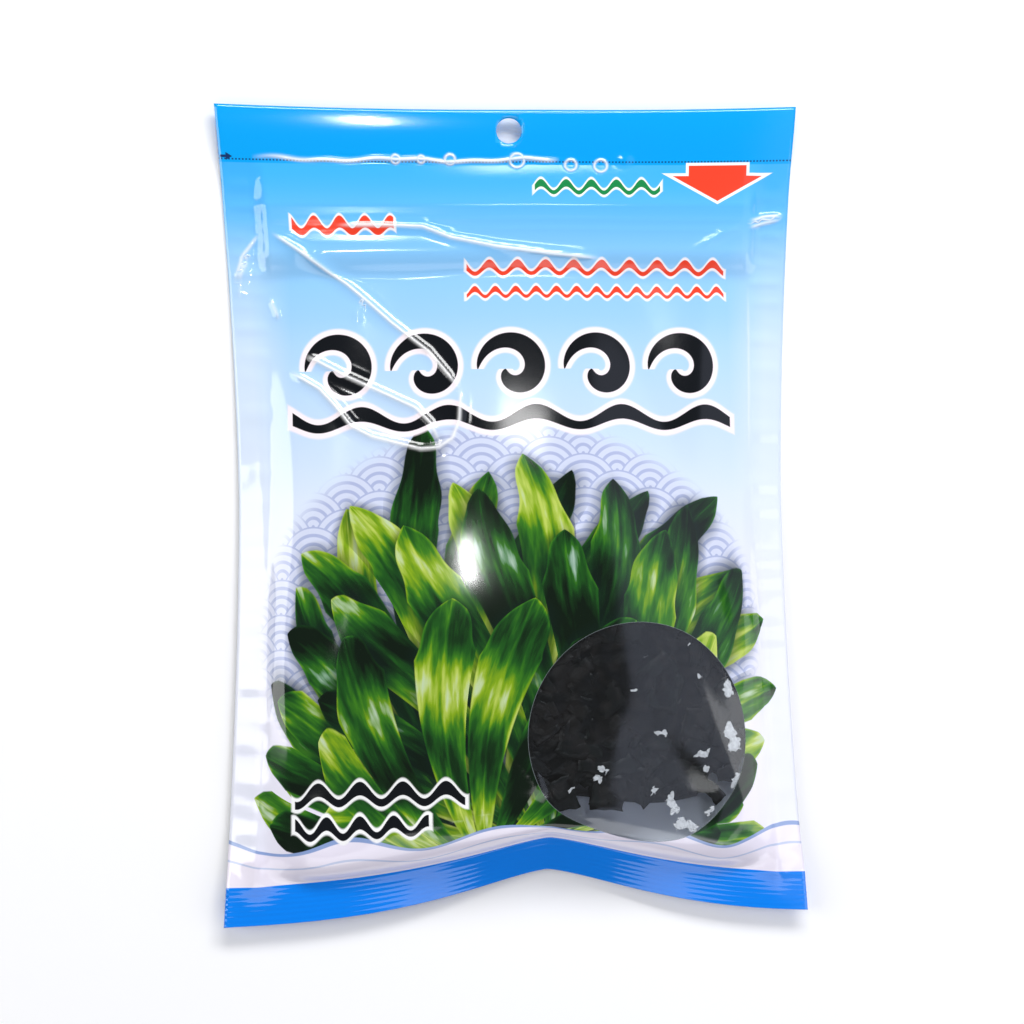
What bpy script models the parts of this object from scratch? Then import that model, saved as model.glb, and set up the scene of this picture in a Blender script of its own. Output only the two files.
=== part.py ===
"""Resealable film pouch of dried cut wakame, lying on its back on a table.

Two printed film panels are welded together along all four edges. A press-to-close
zip, a ribbed strip on the front film and a grooved strip on the back film, lies under
the welded header, and loose dried wakame fills the pocket below it. Metres, +Z up, the
front of the pouch faces up and its hanging header points to +Y. The origin is on the
table, under the middle of the pouch.
"""

import math
import random

import bmesh
import bpy
from mathutils import Vector

# Driving sizes of the flat pouch
PACK_WIDTH = 0.180
PACK_HEIGHT = 0.250
FILM = 0.0003
WELD_GAP = 0.0003
SIDE_SEAL = 0.010
BOTTOM_SEAL = 0.012
HEADER = 0.017
HOLE_RADIUS = 0.004
HOLE_BELOW_TOP = 0.0065

# The zip: two strips that lie in the pocket, below the header
ZIP_BELOW_TOP = 0.037
ZIP_TAPE = 0.012
ZIP_TAPE_THICK = 0.0003
ZIP_LENGTH = 0.152
ZIP_STACK = 0.0030

# How the filled pouch bulges, and how far that pulls its edges in
FILL_THICK = 0.0205
SIDE_PULL = 0.006
SIDE_PULL_AT = 0.130
BOTTOM_PULL = 0.0145
BOTTOM_PULL_AT = 0.009
BOTTOM_PULL_SPREAD = 0.040
TOP_PULL = 0.0018
SEAM_SIDE = 0.0075
SEAM_BOTTOM = 0.0090
EDGE_LIFT = 0.0015
CORNER_LIFT = 0.0045
LIFT_TOP = 0.003
FLAT_BACK = 0.058

# The loose wakame
CLEAR = 0.0008
SHALLOW = 0.55
HEAP_DEPTH = 0.0032
HEAP_LUMP = 0.0008
HEAP_HALF_WIDTH = 0.0725
HEAP_BOTTOM = 0.021
HEAP_TOP = 0.190
FLAKE_THICK = 0.0009
FLAKE_LENGTH = (0.013, 0.019)
FLAKE_WIDTH = (0.006, 0.009)
FLAKE_DIP = 0.0048
FLAKE_COLUMNS = 8
FLAKE_ROWS = 10
MERGE = 0.000001
SEED = 8

# What follows from them
HALF_WIDTH = PACK_WIDTH / 2
POCKET_HALF = HALF_WIDTH - SIDE_SEAL
POCKET_TOP = PACK_HEIGHT - HEADER
ZIP_AT = PACK_HEIGHT - ZIP_BELOW_TOP
ZIP_LOW = ZIP_AT - ZIP_TAPE / 2
ZIP_HIGH = ZIP_AT + ZIP_TAPE / 2
FLAKE_LIMIT = POCKET_HALF - 0.003
FLAKE_BOTTOM = BOTTOM_SEAL + 0.0055

# Cells of a panel's grid across the pocket and along it
POCKET_COLUMNS = 20
POCKET_ROWS = 22

MATERIALS = {
    # name: linear colour, roughness, metallic
    "printed_front_film": ((0.18, 0.52, 0.86), 0.16, 0.0),
    "printed_back_film": ((0.80, 0.84, 0.92), 0.20, 0.0),
    "clear_zip_strip": ((0.78, 0.84, 0.88), 0.30, 0.0),
    "dried_wakame": ((0.010, 0.013, 0.012), 0.55, 0.0),
}


def clear_scene():
    """Removes the startup objects."""
    for obj in list(bpy.data.objects):
        bpy.data.objects.remove(obj)


def make_material(name):
    """A Principled material with the colour and gloss listed above."""
    colour, roughness, metallic = MATERIALS[name]
    material = bpy.data.materials.new(name)
    material.use_nodes = True
    shader = material.node_tree.nodes["Principled BSDF"]
    shader.inputs["Base Color"].default_value = (*colour, 1.0)
    shader.inputs["Roughness"].default_value = roughness
    shader.inputs["Metallic"].default_value = metallic
    material.diffuse_color = (*colour, 1.0)
    return material


def clamp(value):
    """The value, held between 0 and 1."""
    return max(0.0, min(1.0, value))


def smooth(value):
    """A soft step: 0 below 0, 1 above 1, level at both ends."""
    value = clamp(value)
    return value * value * (3 - 2 * value)


def side_pull(v):
    """How far each long edge is drawn in, at a height v up the flat film."""
    reach = SIDE_PULL_AT if v < SIDE_PULL_AT else PACK_HEIGHT - SIDE_PULL_AT
    return SIDE_PULL * (1 - (abs(v - SIDE_PULL_AT) / reach) ** 1.6)


def bottom_pull(u):
    """How far the bottom edge is drawn up, at u across the flat film."""
    away = abs(u - BOTTOM_PULL_AT) / BOTTOM_PULL_SPREAD
    corner = 1 - (u / HALF_WIDTH) ** 4
    return BOTTOM_PULL * math.exp(-(away**1.4)) * corner


def top_pull(u):
    """How far the top edge is drawn down."""
    return TOP_PULL * (1 - (u / HALF_WIDTH) ** 2)


def across_up(u, v):
    """(x, y) on the table of a point of the flat film, u from its middle and v from its bottom."""
    x = u * (1 - side_pull(v) / HALF_WIDTH)
    near_bottom = 1 / (1 + (v / 0.042) ** 2)
    near_top = smooth((v - ZIP_LOW) / (PACK_HEIGHT - ZIP_LOW))
    y = v - PACK_HEIGHT / 2 + bottom_pull(u) * near_bottom - top_pull(u) * near_top
    return x, y


def bulge(u, v):
    """How far the filled pocket holds the two films apart."""
    across = (1 - clamp(abs(u) / POCKET_HALF) ** 2.4) ** 0.45
    t = clamp((v - BOTTOM_SEAL) / (ZIP_LOW - BOTTOM_SEAL))
    rise = 1 - (1 - clamp(t / 0.12)) ** 2
    fall = 1 - t**3
    return FILL_THICK * across * rise * fall


def zip_room(u, v):
    """How far the zip strips hold the films apart."""
    across = 1 - smooth((abs(u) - ZIP_LENGTH / 2 - 0.0008) / 0.0030)
    below = smooth((v - ZIP_LOW + 0.012) / 0.0105)
    above = smooth((POCKET_TOP - v) / (POCKET_TOP - ZIP_HIGH - 0.0015))
    return ZIP_STACK * across * below * above


def side_lift(u, v):
    """Height of the back film beside the heap: it climbs to the side seam and falls to the edge."""
    low, high = smooth(v / 0.020), 1 - clamp((v - 0.020) / (ZIP_LOW - 0.026)) ** 1.5
    across = abs(u)
    if across < POCKET_HALF:
        return SEAM_SIDE * low * high * clamp((across - FLAT_BACK) / (POCKET_HALF - FLAT_BACK)) ** 2
    share = (across - POCKET_HALF) / SIDE_SEAL
    return low * high * (SEAM_SIDE + (EDGE_LIFT - SEAM_SIDE) * share)


def bottom_lift(u, v):
    """Height of the back film below the heap: it climbs to the bottom seam and falls to the edge."""
    fold = math.exp(-(((u - BOTTOM_PULL_AT) / BOTTOM_PULL_SPREAD) ** 2))
    seam = CORNER_LIFT + (SEAM_BOTTOM - CORNER_LIFT) * fold
    edge = CORNER_LIFT + (EDGE_LIFT - CORNER_LIFT) * fold
    if v > BOTTOM_SEAL:
        return seam * clamp((0.044 - v) / (0.044 - BOTTOM_SEAL)) ** 2
    return seam + (edge - seam) * (1 - v / BOTTOM_SEAL)


def lift(u, v):
    """Height of the back film above the table."""
    top = LIFT_TOP * smooth((v - ZIP_HIGH - 0.002) / (PACK_HEIGHT - ZIP_HIGH - 0.002))
    return math.hypot(side_lift(u, v), bottom_lift(u, v)) + top


def back_height(u, v):
    """Height of the middle of the back film."""
    return FILM / 2 + lift(u, v)


def front_height(u, v):
    """Height of the middle of the front film."""
    return back_height(u, v) + FILM + WELD_GAP + bulge(u, v) + zip_room(u, v)


def stations_across():
    """u of the grid lines: the edges, the inner edges of the side seals, and closer lines near them."""
    inner = [
        -POCKET_HALF * math.cos(math.pi * k / POCKET_COLUMNS)
        for k in range(POCKET_COLUMNS + 1)
    ]
    return [-HALF_WIDTH, *inner, HALF_WIDTH]


def stations_up():
    """v of the grid lines, from the bottom edge to the top edge."""
    filled = [
        BOTTOM_SEAL + (ZIP_LOW - BOTTOM_SEAL) * (k / POCKET_ROWS) ** 1.25
        for k in range(POCKET_ROWS + 1)
    ]
    header = [ZIP_HIGH + 0.002, POCKET_TOP, PACK_HEIGHT - HEADER / 2, PACK_HEIGHT]
    return [0.0, BOTTOM_SEAL / 2, *filled, *header]


def make_panel(name, height, material, collection, cutters):
    """One film panel: a grid laid out on the seals, lifted to its height, given its thickness and holed."""
    us, vs = stations_across(), stations_up()
    columns, rows = len(us) - 1, len(vs) - 1
    bpy.ops.mesh.primitive_grid_add(x_subdivisions=columns, y_subdivisions=rows, size=2)
    panel = bpy.context.object
    panel.name = name
    for vertex in panel.data.vertices:
        u = us[round((vertex.co.x + 1) / 2 * columns)]
        v = vs[round((vertex.co.y + 1) / 2 * rows)]
        vertex.co = (*across_up(u, v), height(u, v))
    panel.data.materials.append(material)
    for polygon in panel.data.polygons:
        polygon.use_smooth = True
    solidify = panel.modifiers.new("film_thickness", "SOLIDIFY")
    solidify.thickness = FILM
    solidify.offset = 0
    hole = panel.modifiers.new("hang_hole", "BOOLEAN")
    hole.operation = "DIFFERENCE"
    hole.object = hang_hole_cutter(name, cutters)
    move_to(panel, collection)
    return panel


def hang_hole_cutter(name, cutters):
    """The punch of the hang hole, through the middle of the header."""
    x, y = across_up(0.0, PACK_HEIGHT - HOLE_BELOW_TOP)
    bpy.ops.mesh.primitive_cylinder_add(
        vertices=24, radius=HOLE_RADIUS, depth=0.02, location=(x, y, LIFT_TOP)
    )
    cutter = bpy.context.object
    cutter.name = name + "_hole_cutter"
    cutter.hide_render = True
    cutter.display_type = "WIRE"
    move_to(cutter, cutters)
    return cutter


def move_to(obj, collection):
    """Takes an object out of its collections and puts it in this one."""
    for old in list(obj.users_collection):
        old.objects.unlink(obj)
    collection.objects.link(obj)


def zip_strip(name, outline, height, material, collection):
    """A zip strip: its section, in Y and Z, drawn out along X."""
    curve = bpy.data.curves.new(name, "CURVE")
    curve.dimensions = "2D"
    curve.fill_mode = "BOTH"
    curve.extrude, _ = across_up(ZIP_LENGTH / 2, ZIP_AT)
    spline = curve.splines.new("POLY")
    spline.points.add(len(outline) - 1)
    for point, (y, z) in zip(spline.points, outline):
        point.co = (y, z, 0, 1)
    spline.use_cyclic_u = True
    curve.materials.append(material)
    strip = bpy.data.objects.new(name, curve)
    _, y = across_up(0.0, ZIP_AT)
    strip.location = (0, y, height)
    strip.rotation_euler = (math.pi / 2, 0, math.pi / 2)
    collection.objects.link(strip)
    return strip


def zip_outlines():
    """Sections of the ribbed strip, which hangs from the front film, and of the grooved strip on the back film."""
    half, tape = ZIP_TAPE / 2, ZIP_TAPE_THICK
    stem, barb, reach = 0.00025, 0.00055, 0.0014
    ribbed = [
        (-half, 0),
        (-half, -tape),
        (-stem, -tape),
        (-stem, -reach * 0.62),
        (-barb, -reach * 0.70),
        (-stem, -reach),
        (stem, -reach),
        (barb, -reach * 0.70),
        (stem, -reach * 0.62),
        (stem, -tape),
        (half, -tape),
        (half, 0),
    ]
    wall_in, wall_out, lip, tall = 0.0009, 0.0013, 0.0006, 0.0015
    grooved = [
        (-half, 0),
        (half, 0),
        (half, tape),
        (wall_out, tape),
        (wall_out, tall),
        (lip, tall),
        (lip, tall - 0.0003),
        (wall_in, tall - 0.0003),
        (wall_in, tape),
        (-wall_in, tape),
        (-wall_in, tall - 0.0003),
        (-lip, tall - 0.0003),
        (-lip, tall),
        (-wall_out, tall),
        (-wall_out, tape),
        (-half, tape),
    ]
    return ribbed, grooved


def room(u, v):
    """The lowest and the highest that wakame may lie here, clear of both films."""
    return back_height(u, v) + FILM / 2 + CLEAR, front_height(u, v) - FILM / 2 - CLEAR


def inside(u, v, depth):
    """A point in the pocket, this deep below the front film, or less where the pocket is shallow."""
    floor, ceiling = room(u, v)
    return Vector((*across_up(u, v), ceiling - min(depth, SHALLOW * (ceiling - floor))))


def make_heap(rng):
    """The packed middle of the wakame: a block that fills the pocket's shape, with a lumpy top."""
    mesh = bpy.data.meshes.new("heap")
    form = bmesh.new()
    bmesh.ops.create_cube(form, size=2)
    bmesh.ops.subdivide_edges(form, edges=form.edges, cuts=7, use_grid_fill=True)
    phases = [rng.uniform(0, math.tau) for _ in range(4)]
    middle = (HEAP_TOP + HEAP_BOTTOM) / 2
    half_length = (HEAP_TOP - HEAP_BOTTOM) / 2
    for vertex in form.verts:
        across, along, level = vertex.co
        u = HEAP_HALF_WIDTH * across * math.sqrt(1 - along * along / 9)
        v = middle + half_length * along * math.sqrt(1 - across * across / 9)
        lump = math.sin(u * 240 + phases[0]) * math.sin(v * 210 + phases[1])
        lump += 0.6 * math.sin(u * 420 + phases[2]) * math.sin(v * 390 + phases[3])
        top = inside(u, v, HEAP_DEPTH + HEAP_LUMP * lump)
        bottom = Vector((top.x, top.y, room(u, v)[0]))
        vertex.co = bottom.lerp(top, (level + 1) / 2)
    form.to_mesh(mesh)
    form.free()
    heap = bpy.data.objects.new("heap", mesh)
    bpy.context.scene.collection.objects.link(heap)
    return heap


def make_flake(rng, index, u, v, collection):
    """One dried flake: a short bent ribbon that stands partly out of the heap."""
    length, width = rng.uniform(*FLAKE_LENGTH), rng.uniform(*FLAKE_WIDTH)
    turn = rng.uniform(0, math.pi)
    wave = rng.uniform(0, math.tau)
    reach_u = (length * abs(math.cos(turn)) + width * math.sin(turn)) / 2
    reach_v = (length * math.sin(turn) + width * abs(math.cos(turn))) / 2
    u = max(reach_u - FLAKE_LIMIT, min(FLAKE_LIMIT - reach_u, u))
    v = max(FLAKE_BOTTOM + reach_v, v)
    mesh = bpy.data.meshes.new(f"flake_{index}")
    form = bmesh.new()
    bmesh.ops.create_grid(form, x_segments=3, y_segments=1, size=1)
    for vertex in form.verts:
        along, side = vertex.co.x, vertex.co.y
        narrow = width / 2 * (1 - 0.35 * along * along)
        du = along * length / 2 * math.cos(turn) - side * narrow * math.sin(turn)
        dv = along * length / 2 * math.sin(turn) + side * narrow * math.cos(turn)
        crinkle = 0.5 + 0.5 * math.sin(wave + 2.4 * along + 1.1 * side)
        vertex.co = inside(u + du, v + dv, FLAKE_THICK / 2 + FLAKE_DIP * crinkle)
    form.to_mesh(mesh)
    form.free()
    flake = bpy.data.objects.new(f"flake_{index}", mesh)
    thick = flake.modifiers.new("flake_thickness", "SOLIDIFY")
    thick.thickness = FLAKE_THICK
    thick.offset = 0
    collection.objects.link(flake)


def keep_outer_shell(mesh):
    """Fills what the union sealed and drops loose scraps: only the shell with the most faces stays.

    A sealed hollow may touch the outside along an edge, so a shell isn't followed over an edge of
    more than two faces.
    """
    form = bmesh.new()
    form.from_mesh(mesh)
    bmesh.ops.triangulate(form, faces=form.faces)
    bmesh.ops.remove_doubles(form, verts=form.verts, dist=MERGE)
    bmesh.ops.dissolve_degenerate(form, edges=form.edges, dist=MERGE)
    bmesh.ops.triangulate(form, faces=form.faces)
    shells = []
    waiting = set(form.faces)
    while waiting:
        shell = set()
        reached = [waiting.pop()]
        while reached:
            face = reached.pop()
            shell.add(face)
            for edge in face.edges:
                if len(edge.link_faces) != 2:
                    continue
                for other in edge.link_faces:
                    if other in waiting:
                        waiting.remove(other)
                        reached.append(other)
        shells.append(shell)
    shells.sort(key=len)
    extra = [face for shell in shells[:-1] for face in shell]
    bmesh.ops.delete(form, geom=extra, context="FACES")
    form.to_mesh(mesh)
    form.free()


def make_wakame(material, collection):
    """The loose wakame as one body: the heap, with flakes joined to it by one union."""
    rng = random.Random(SEED)
    heap = make_heap(rng)
    flakes = bpy.data.collections.new("flakes")
    bpy.context.scene.collection.children.link(flakes)
    index = 0
    for row in range(FLAKE_ROWS):
        for column in range(FLAKE_COLUMNS):
            share_u = (column + 0.5 + rng.uniform(-0.3, 0.3)) / FLAKE_COLUMNS
            share_v = (row + 0.5 + rng.uniform(-0.3, 0.3)) / FLAKE_ROWS
            u = (share_u * 2 - 1) * HEAP_HALF_WIDTH
            v = HEAP_BOTTOM + share_v * (HEAP_TOP - HEAP_BOTTOM - 0.010)
            make_flake(rng, index, u, v, flakes)
            index += 1
    union = heap.modifiers.new("join_flakes", "BOOLEAN")
    union.operation = "UNION"
    union.operand_type = "COLLECTION"
    union.collection = flakes
    union.solver = "MANIFOLD"
    graph = bpy.context.evaluated_depsgraph_get()
    mesh = bpy.data.meshes.new_from_object(heap.evaluated_get(graph))
    bpy.data.objects.remove(heap)
    for flake in list(flakes.objects):
        bpy.data.objects.remove(flake)
    bpy.data.collections.remove(flakes)
    keep_outer_shell(mesh)
    mesh.materials.clear()
    mesh.materials.append(material)
    wakame = bpy.data.objects.new("cut_wakame", mesh)
    collection.objects.link(wakame)
    return wakame


def main():
    clear_scene()
    pouch = bpy.data.collections.new("wakame_pouch")
    cutters = bpy.data.collections.new("cutters")
    for collection in (pouch, cutters):
        bpy.context.scene.collection.children.link(collection)
    front_film = make_material("printed_front_film")
    back_film = make_material("printed_back_film")
    strip = make_material("clear_zip_strip")
    make_panel("front_panel", front_height, front_film, pouch, cutters)
    make_panel("back_panel", back_height, back_film, pouch, cutters)
    ribbed, grooved = zip_outlines()
    ceiling = front_height(0.0, ZIP_AT) - FILM / 2 - WELD_GAP
    floor = back_height(0.0, ZIP_AT) + FILM / 2 + WELD_GAP
    zip_strip("zip_ribbed_strip", ribbed, ceiling, strip, pouch)
    zip_strip("zip_grooved_strip", grooved, floor, strip, pouch)
    make_wakame(make_material("dried_wakame"), pouch)


main()
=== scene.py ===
"""Looks of a glossy film pouch of dried cut wakame that lies on its back on a pale table.

The two film panels come from a cloth simulation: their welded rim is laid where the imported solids
have it, and the filling presses the pocket out until the film is taut. The wakame is a heap of
crinkled flakes, seen through the round clear window of the front panel.
"""

import logging
import math
from dataclasses import dataclass, field
from enum import Enum
from typing import Any, Callable

import bmesh
import bpy
import numpy as np
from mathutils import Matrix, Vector


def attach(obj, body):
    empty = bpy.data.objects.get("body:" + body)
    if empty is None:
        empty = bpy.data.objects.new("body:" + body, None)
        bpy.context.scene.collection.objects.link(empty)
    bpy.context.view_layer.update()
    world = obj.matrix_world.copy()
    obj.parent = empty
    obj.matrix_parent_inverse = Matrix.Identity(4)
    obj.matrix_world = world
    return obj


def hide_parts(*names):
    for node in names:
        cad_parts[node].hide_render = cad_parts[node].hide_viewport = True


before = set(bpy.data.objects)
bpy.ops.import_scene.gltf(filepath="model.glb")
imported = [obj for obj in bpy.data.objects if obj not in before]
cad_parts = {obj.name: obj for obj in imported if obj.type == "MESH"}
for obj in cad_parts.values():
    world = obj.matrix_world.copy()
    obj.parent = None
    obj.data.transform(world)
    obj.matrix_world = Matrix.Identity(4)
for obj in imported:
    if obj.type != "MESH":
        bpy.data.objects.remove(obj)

logging.basicConfig(level=logging.INFO, format="%(name)s: %(message)s")
log = logging.getLogger("wakame_pouch")

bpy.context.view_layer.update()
MM = 0.001
SHEET_UNIT = 0.250  # one unit of the film's UV map, in metres


def linear(hex_colour: str) -> tuple[float, float, float, float]:
    """Turns an sRGB hex colour into a linear colour with full alpha.

    Args:
        hex_colour: six hex digits with a leading hash.

    Returns:
        Red, green, blue and alpha.
    """
    channels = [int(hex_colour[k : k + 2], 16) / 255 for k in (1, 3, 5)]
    red, green, blue = (
        c / 12.92 if c <= 0.04045 else ((c + 0.055) / 1.055) ** 2.4 for c in channels
    )
    return red, green, blue, 1.0


RANGE = "ShaderNodeMapRange"
MIX = "ShaderNodeMix"
NOISE = "ShaderNodeTexNoise"
JOIN = "ShaderNodeCombineXYZ"
PART = "ShaderNodeSeparateXYZ"
BUMP = "ShaderNodeBump"
PRINCIPLED = "ShaderNodeBsdfPrincipled"
OUTPUT = "ShaderNodeOutputMaterial"
RANDOM = "FunctionNodeRandomValue"
MOVE = "GeometryNodeSetPosition"


class Sum(Enum):
    """What a math node works out."""

    PLUS = "ADD"
    MINUS = "SUBTRACT"
    TIMES = "MULTIPLY"
    OVER = "DIVIDE"
    TIMES_PLUS = "MULTIPLY_ADD"
    SINE = "SINE"
    ANGLE = "ARCTAN2"
    ABS = "ABSOLUTE"
    ROOT = "SQRT"
    POWER = "POWER"
    EXP = "EXPONENT"
    LEAST = "MINIMUM"
    MOST = "MAXIMUM"
    FLOOR = "FLOOR"
    FRACT = "FRACT"
    WRAP = "FLOORED_MODULO"
    BELOW = "LESS_THAN"


class VectorSum(Enum):
    """What a vector math node works out."""

    PLUS = "ADD"
    MINUS = "SUBTRACT"
    TIMES = "MULTIPLY"
    OVER = "DIVIDE"
    TIMES_PLUS = "MULTIPLY_ADD"
    LENGTH = "LENGTH"
    AWAY = "DISTANCE"
    SCALE = "SCALE"


def add(
    tree: bpy.types.NodeTree, kind: str | Sum | VectorSum, inputs: Any = (), **settings: Any
) -> bpy.types.Node:
    """Adds a node with its settings and links.

    Args:
        tree: the node tree.
        kind: the node's type name, or the sum that a math node works out.
        inputs: values for the sockets in use, in order, or by name or index. A node or an output
            socket is linked, anything else is set on the socket, and None leaves it alone.
        settings: the node's properties, set before its sockets.

    Returns:
        The new node.
    """
    if isinstance(kind, (Sum, VectorSum)):
        settings["operation"] = kind.value
        kind = "ShaderNodeMath" if isinstance(kind, Sum) else "ShaderNodeVectorMath"
    node = tree.nodes.new(kind)
    for name, value in settings.items():
        setattr(node, name, value)
    if isinstance(inputs, dict):
        pairs = [(node.inputs[name], value) for name, value in inputs.items()]
    else:
        pairs = list(zip([s for s in node.inputs if s.enabled], inputs))
    for socket, value in pairs:
        if isinstance(value, bpy.types.Node):
            value = next(s for s in value.outputs if s.enabled)
        if isinstance(value, bpy.types.NodeSocket):
            tree.links.new(value, socket)
        elif value is not None:
            socket.default_value = value
    return node


def clamp(values: Any) -> np.ndarray:
    """The values, held between 0 and 1."""
    return np.clip(values, 0.0, 1.0)


def smooth(values: Any) -> np.ndarray:
    """A soft step: 0 below 0, 1 above 1, level at both ends."""
    held = clamp(values)
    return held * held * (3 - 2 * held)


def grid_quads(number: np.ndarray) -> np.ndarray:
    """The four vertex numbers of each cell of a grid, round each cell from its lower left."""
    return np.stack([number[:-1, :-1], number[:-1, 1:], number[1:, 1:], number[1:, :-1]], axis=-1)


def linked(name: str, mesh: bpy.types.Mesh) -> bpy.types.Object:
    """Puts a mesh into the scene.

    Args:
        name: the object's name.
        mesh: its mesh.

    Returns:
        The object, at the origin.
    """
    piece = bpy.data.objects.new(name, mesh)
    bpy.context.scene.collection.objects.link(piece)
    return piece


@dataclass(frozen=True)
class PouchForm:
    """The flat pouch, and where the filling draws its welded rim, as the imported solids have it.

    A point of the flat film is (u, v): u across from the middle, v up from the bottom edge.
    """

    width: float = 0.180
    height: float = 0.250
    film: float = 0.0003
    weld_gap: float = 0.0003
    side_seal: float = 0.010
    bottom_seal: float = 0.012
    header: float = 0.017
    hole_radius: float = 0.004
    hole_below_top: float = 0.0065
    zip_below_top: float = 0.037
    zip_tape: float = 0.012
    zip_length: float = 0.152
    zip_stack: float = 0.0030
    fill_thick: float = 0.0205
    side_draw: float = 0.006
    side_draw_at: float = 0.130
    bottom_draw: float = 0.0145
    bottom_draw_at: float = 0.009
    bottom_spread: float = 0.040
    top_draw: float = 0.0018
    seam_side: float = 0.0075
    seam_bottom: float = 0.0090
    edge_lift: float = 0.0015
    corner_lift: float = 0.0045
    top_lift: float = 0.003
    flat_back: float = 0.058
    side_draw_power: float = 1.6
    bottom_draw_power: float = 1.4
    bottom_draw_reach: float = 0.042
    side_rise: float = 0.020
    side_fall: float = 0.026
    bottom_rise: float = 0.044
    top_rise: float = 0.002
    crown_across: float = 2.4
    crown_power: float = 0.45
    heel_share: float = 0.12
    zip_side_room: float = 0.0044
    zip_slope: float = 0.012

    @property
    def half(self) -> float:
        """Half the flat width."""
        return self.width / 2

    @property
    def pocket_half(self) -> float:
        """From the middle to the inner edge of a side seal."""
        return self.half - self.side_seal

    @property
    def pocket_top(self) -> float:
        """The header's lower edge."""
        return self.height - self.header

    @property
    def hole_up(self) -> float:
        """The middle of the hang hole."""
        return self.height - self.hole_below_top

    @property
    def zip_at(self) -> float:
        """The middle of the zip."""
        return self.height - self.zip_below_top

    @property
    def zip_low(self) -> float:
        """The lower edge of the zip's tapes."""
        return self.zip_at - self.zip_tape / 2

    @property
    def zip_high(self) -> float:
        """The upper edge of the zip's tapes."""
        return self.zip_at + self.zip_tape / 2

    def on_table(self, u: np.ndarray, v: np.ndarray) -> tuple[np.ndarray, np.ndarray]:
        """Lays points of the flat film out on the table.

        Args:
            u: across from the middle.
            v: up from the bottom edge.

        Returns:
            x and y.
        """
        reach = np.where(v < self.side_draw_at, self.side_draw_at, self.height - self.side_draw_at)
        side = self.side_draw * (1 - (np.abs(v - self.side_draw_at) / reach) ** self.side_draw_power)
        away = np.abs(u - self.bottom_draw_at) / self.bottom_spread
        bottom = self.bottom_draw * np.exp(-(away**self.bottom_draw_power)) * (1 - (u / self.half) ** 4)
        near_bottom = 1 / (1 + (v / self.bottom_draw_reach) ** 2)
        near_top = smooth((v - self.zip_low) / (self.height - self.zip_low))
        top = self.top_draw * (1 - (u / self.half) ** 2)
        y = v - self.height / 2 + bottom * near_bottom - top * near_top
        return u * (1 - side / self.half), y

    def lift(self, u: np.ndarray, v: np.ndarray) -> np.ndarray:
        """How high the back film's rim stands over the table, at points of the flat film.

        Args:
            u: across from the middle.
            v: up from the bottom edge.

        Returns:
            The heights, in metres.
        """
        across = np.abs(u)
        low = smooth(v / self.side_rise)
        high = 1 - clamp((v - self.side_rise) / (self.zip_low - self.side_fall)) ** 1.5
        climb = clamp((across - self.flat_back) / (self.pocket_half - self.flat_back)) ** 2
        share = (across - self.pocket_half) / self.side_seal
        fall = self.seam_side + (self.edge_lift - self.seam_side) * share
        side = low * high * np.where(across < self.pocket_half, self.seam_side * climb, fall)
        fold = np.exp(-(((u - self.bottom_draw_at) / self.bottom_spread) ** 2))
        seam = self.corner_lift + (self.seam_bottom - self.corner_lift) * fold
        edge = self.corner_lift + (self.edge_lift - self.corner_lift) * fold
        inner = seam * clamp((self.bottom_rise - v) / (self.bottom_rise - self.bottom_seal)) ** 2
        outer = seam + (edge - seam) * (1 - v / self.bottom_seal)
        bottom = np.where(v > self.bottom_seal, inner, outer)
        flat_to = self.zip_high + self.top_rise
        top = self.top_lift * smooth((v - flat_to) / (self.height - flat_to))
        return np.hypot(side, bottom) + top

    def zip_room(self, u: np.ndarray, v: np.ndarray) -> np.ndarray:
        """How far the zip strips hold the films apart.

        Args:
            u: across from the middle.
            v: up from the bottom edge.

        Returns:
            The room that they need, in metres.
        """
        past_end = np.abs(u) - self.zip_length / 2 - 0.0002
        across = 1 - smooth(past_end / self.zip_side_room)
        below = smooth((v - self.zip_low + self.zip_slope) / (self.zip_slope - 0.0015))
        above = clamp((self.pocket_top - v) / (self.pocket_top - self.zip_high - 0.0005))
        return self.zip_stack * across * below * above


@dataclass
class FilmGrid:
    """Both films on one grid of flat stations: the points of each, row by row up the film."""

    across: np.ndarray
    up: np.ndarray
    front: np.ndarray
    back: np.ndarray

    def sharpened(self, across: np.ndarray, up: np.ndarray) -> "FilmGrid":
        """Reads both films at finer stations, by cubic splines along each direction.

        Args:
            across: the new stations across.
            up: the new stations up.

        Returns:
            The finer grid.
        """
        columns = self.spline_weights(self.across, across)
        rows = self.spline_weights(self.up, up)
        front, back = (
            np.einsum("rj,jik,ci->rck", rows, film, columns, optimize=True)
            for film in (self.front, self.back)
        )
        return FilmGrid(across, up, front, back)

    @staticmethod
    def spline_weights(stations: np.ndarray, targets: np.ndarray) -> np.ndarray:
        """Catmull-Rom weights of evenly spaced stations at each target.

        Args:
            stations: evenly spaced, rising.
            targets: where the spline is read.

        Returns:
            One row of weights for each target.
        """
        last = len(stations) - 1
        place = (targets - stations[0]) / (stations[1] - stations[0])
        start = np.clip(np.floor(place).astype(int), 0, last - 1)
        t = place - start
        shares = (
            -0.5 * t + t**2 - 0.5 * t**3,
            1 - 2.5 * t**2 + 1.5 * t**3,
            0.5 * t + 2 * t**2 - 1.5 * t**3,
            -0.5 * t**2 + 0.5 * t**3,
        )
        weights = np.zeros((len(targets), len(stations)))
        for offset, share in zip((-1, 0, 1, 2), shares):
            np.add.at(weights, (np.arange(len(targets)), np.clip(start + offset, 0, last)), share)
        return weights


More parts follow.
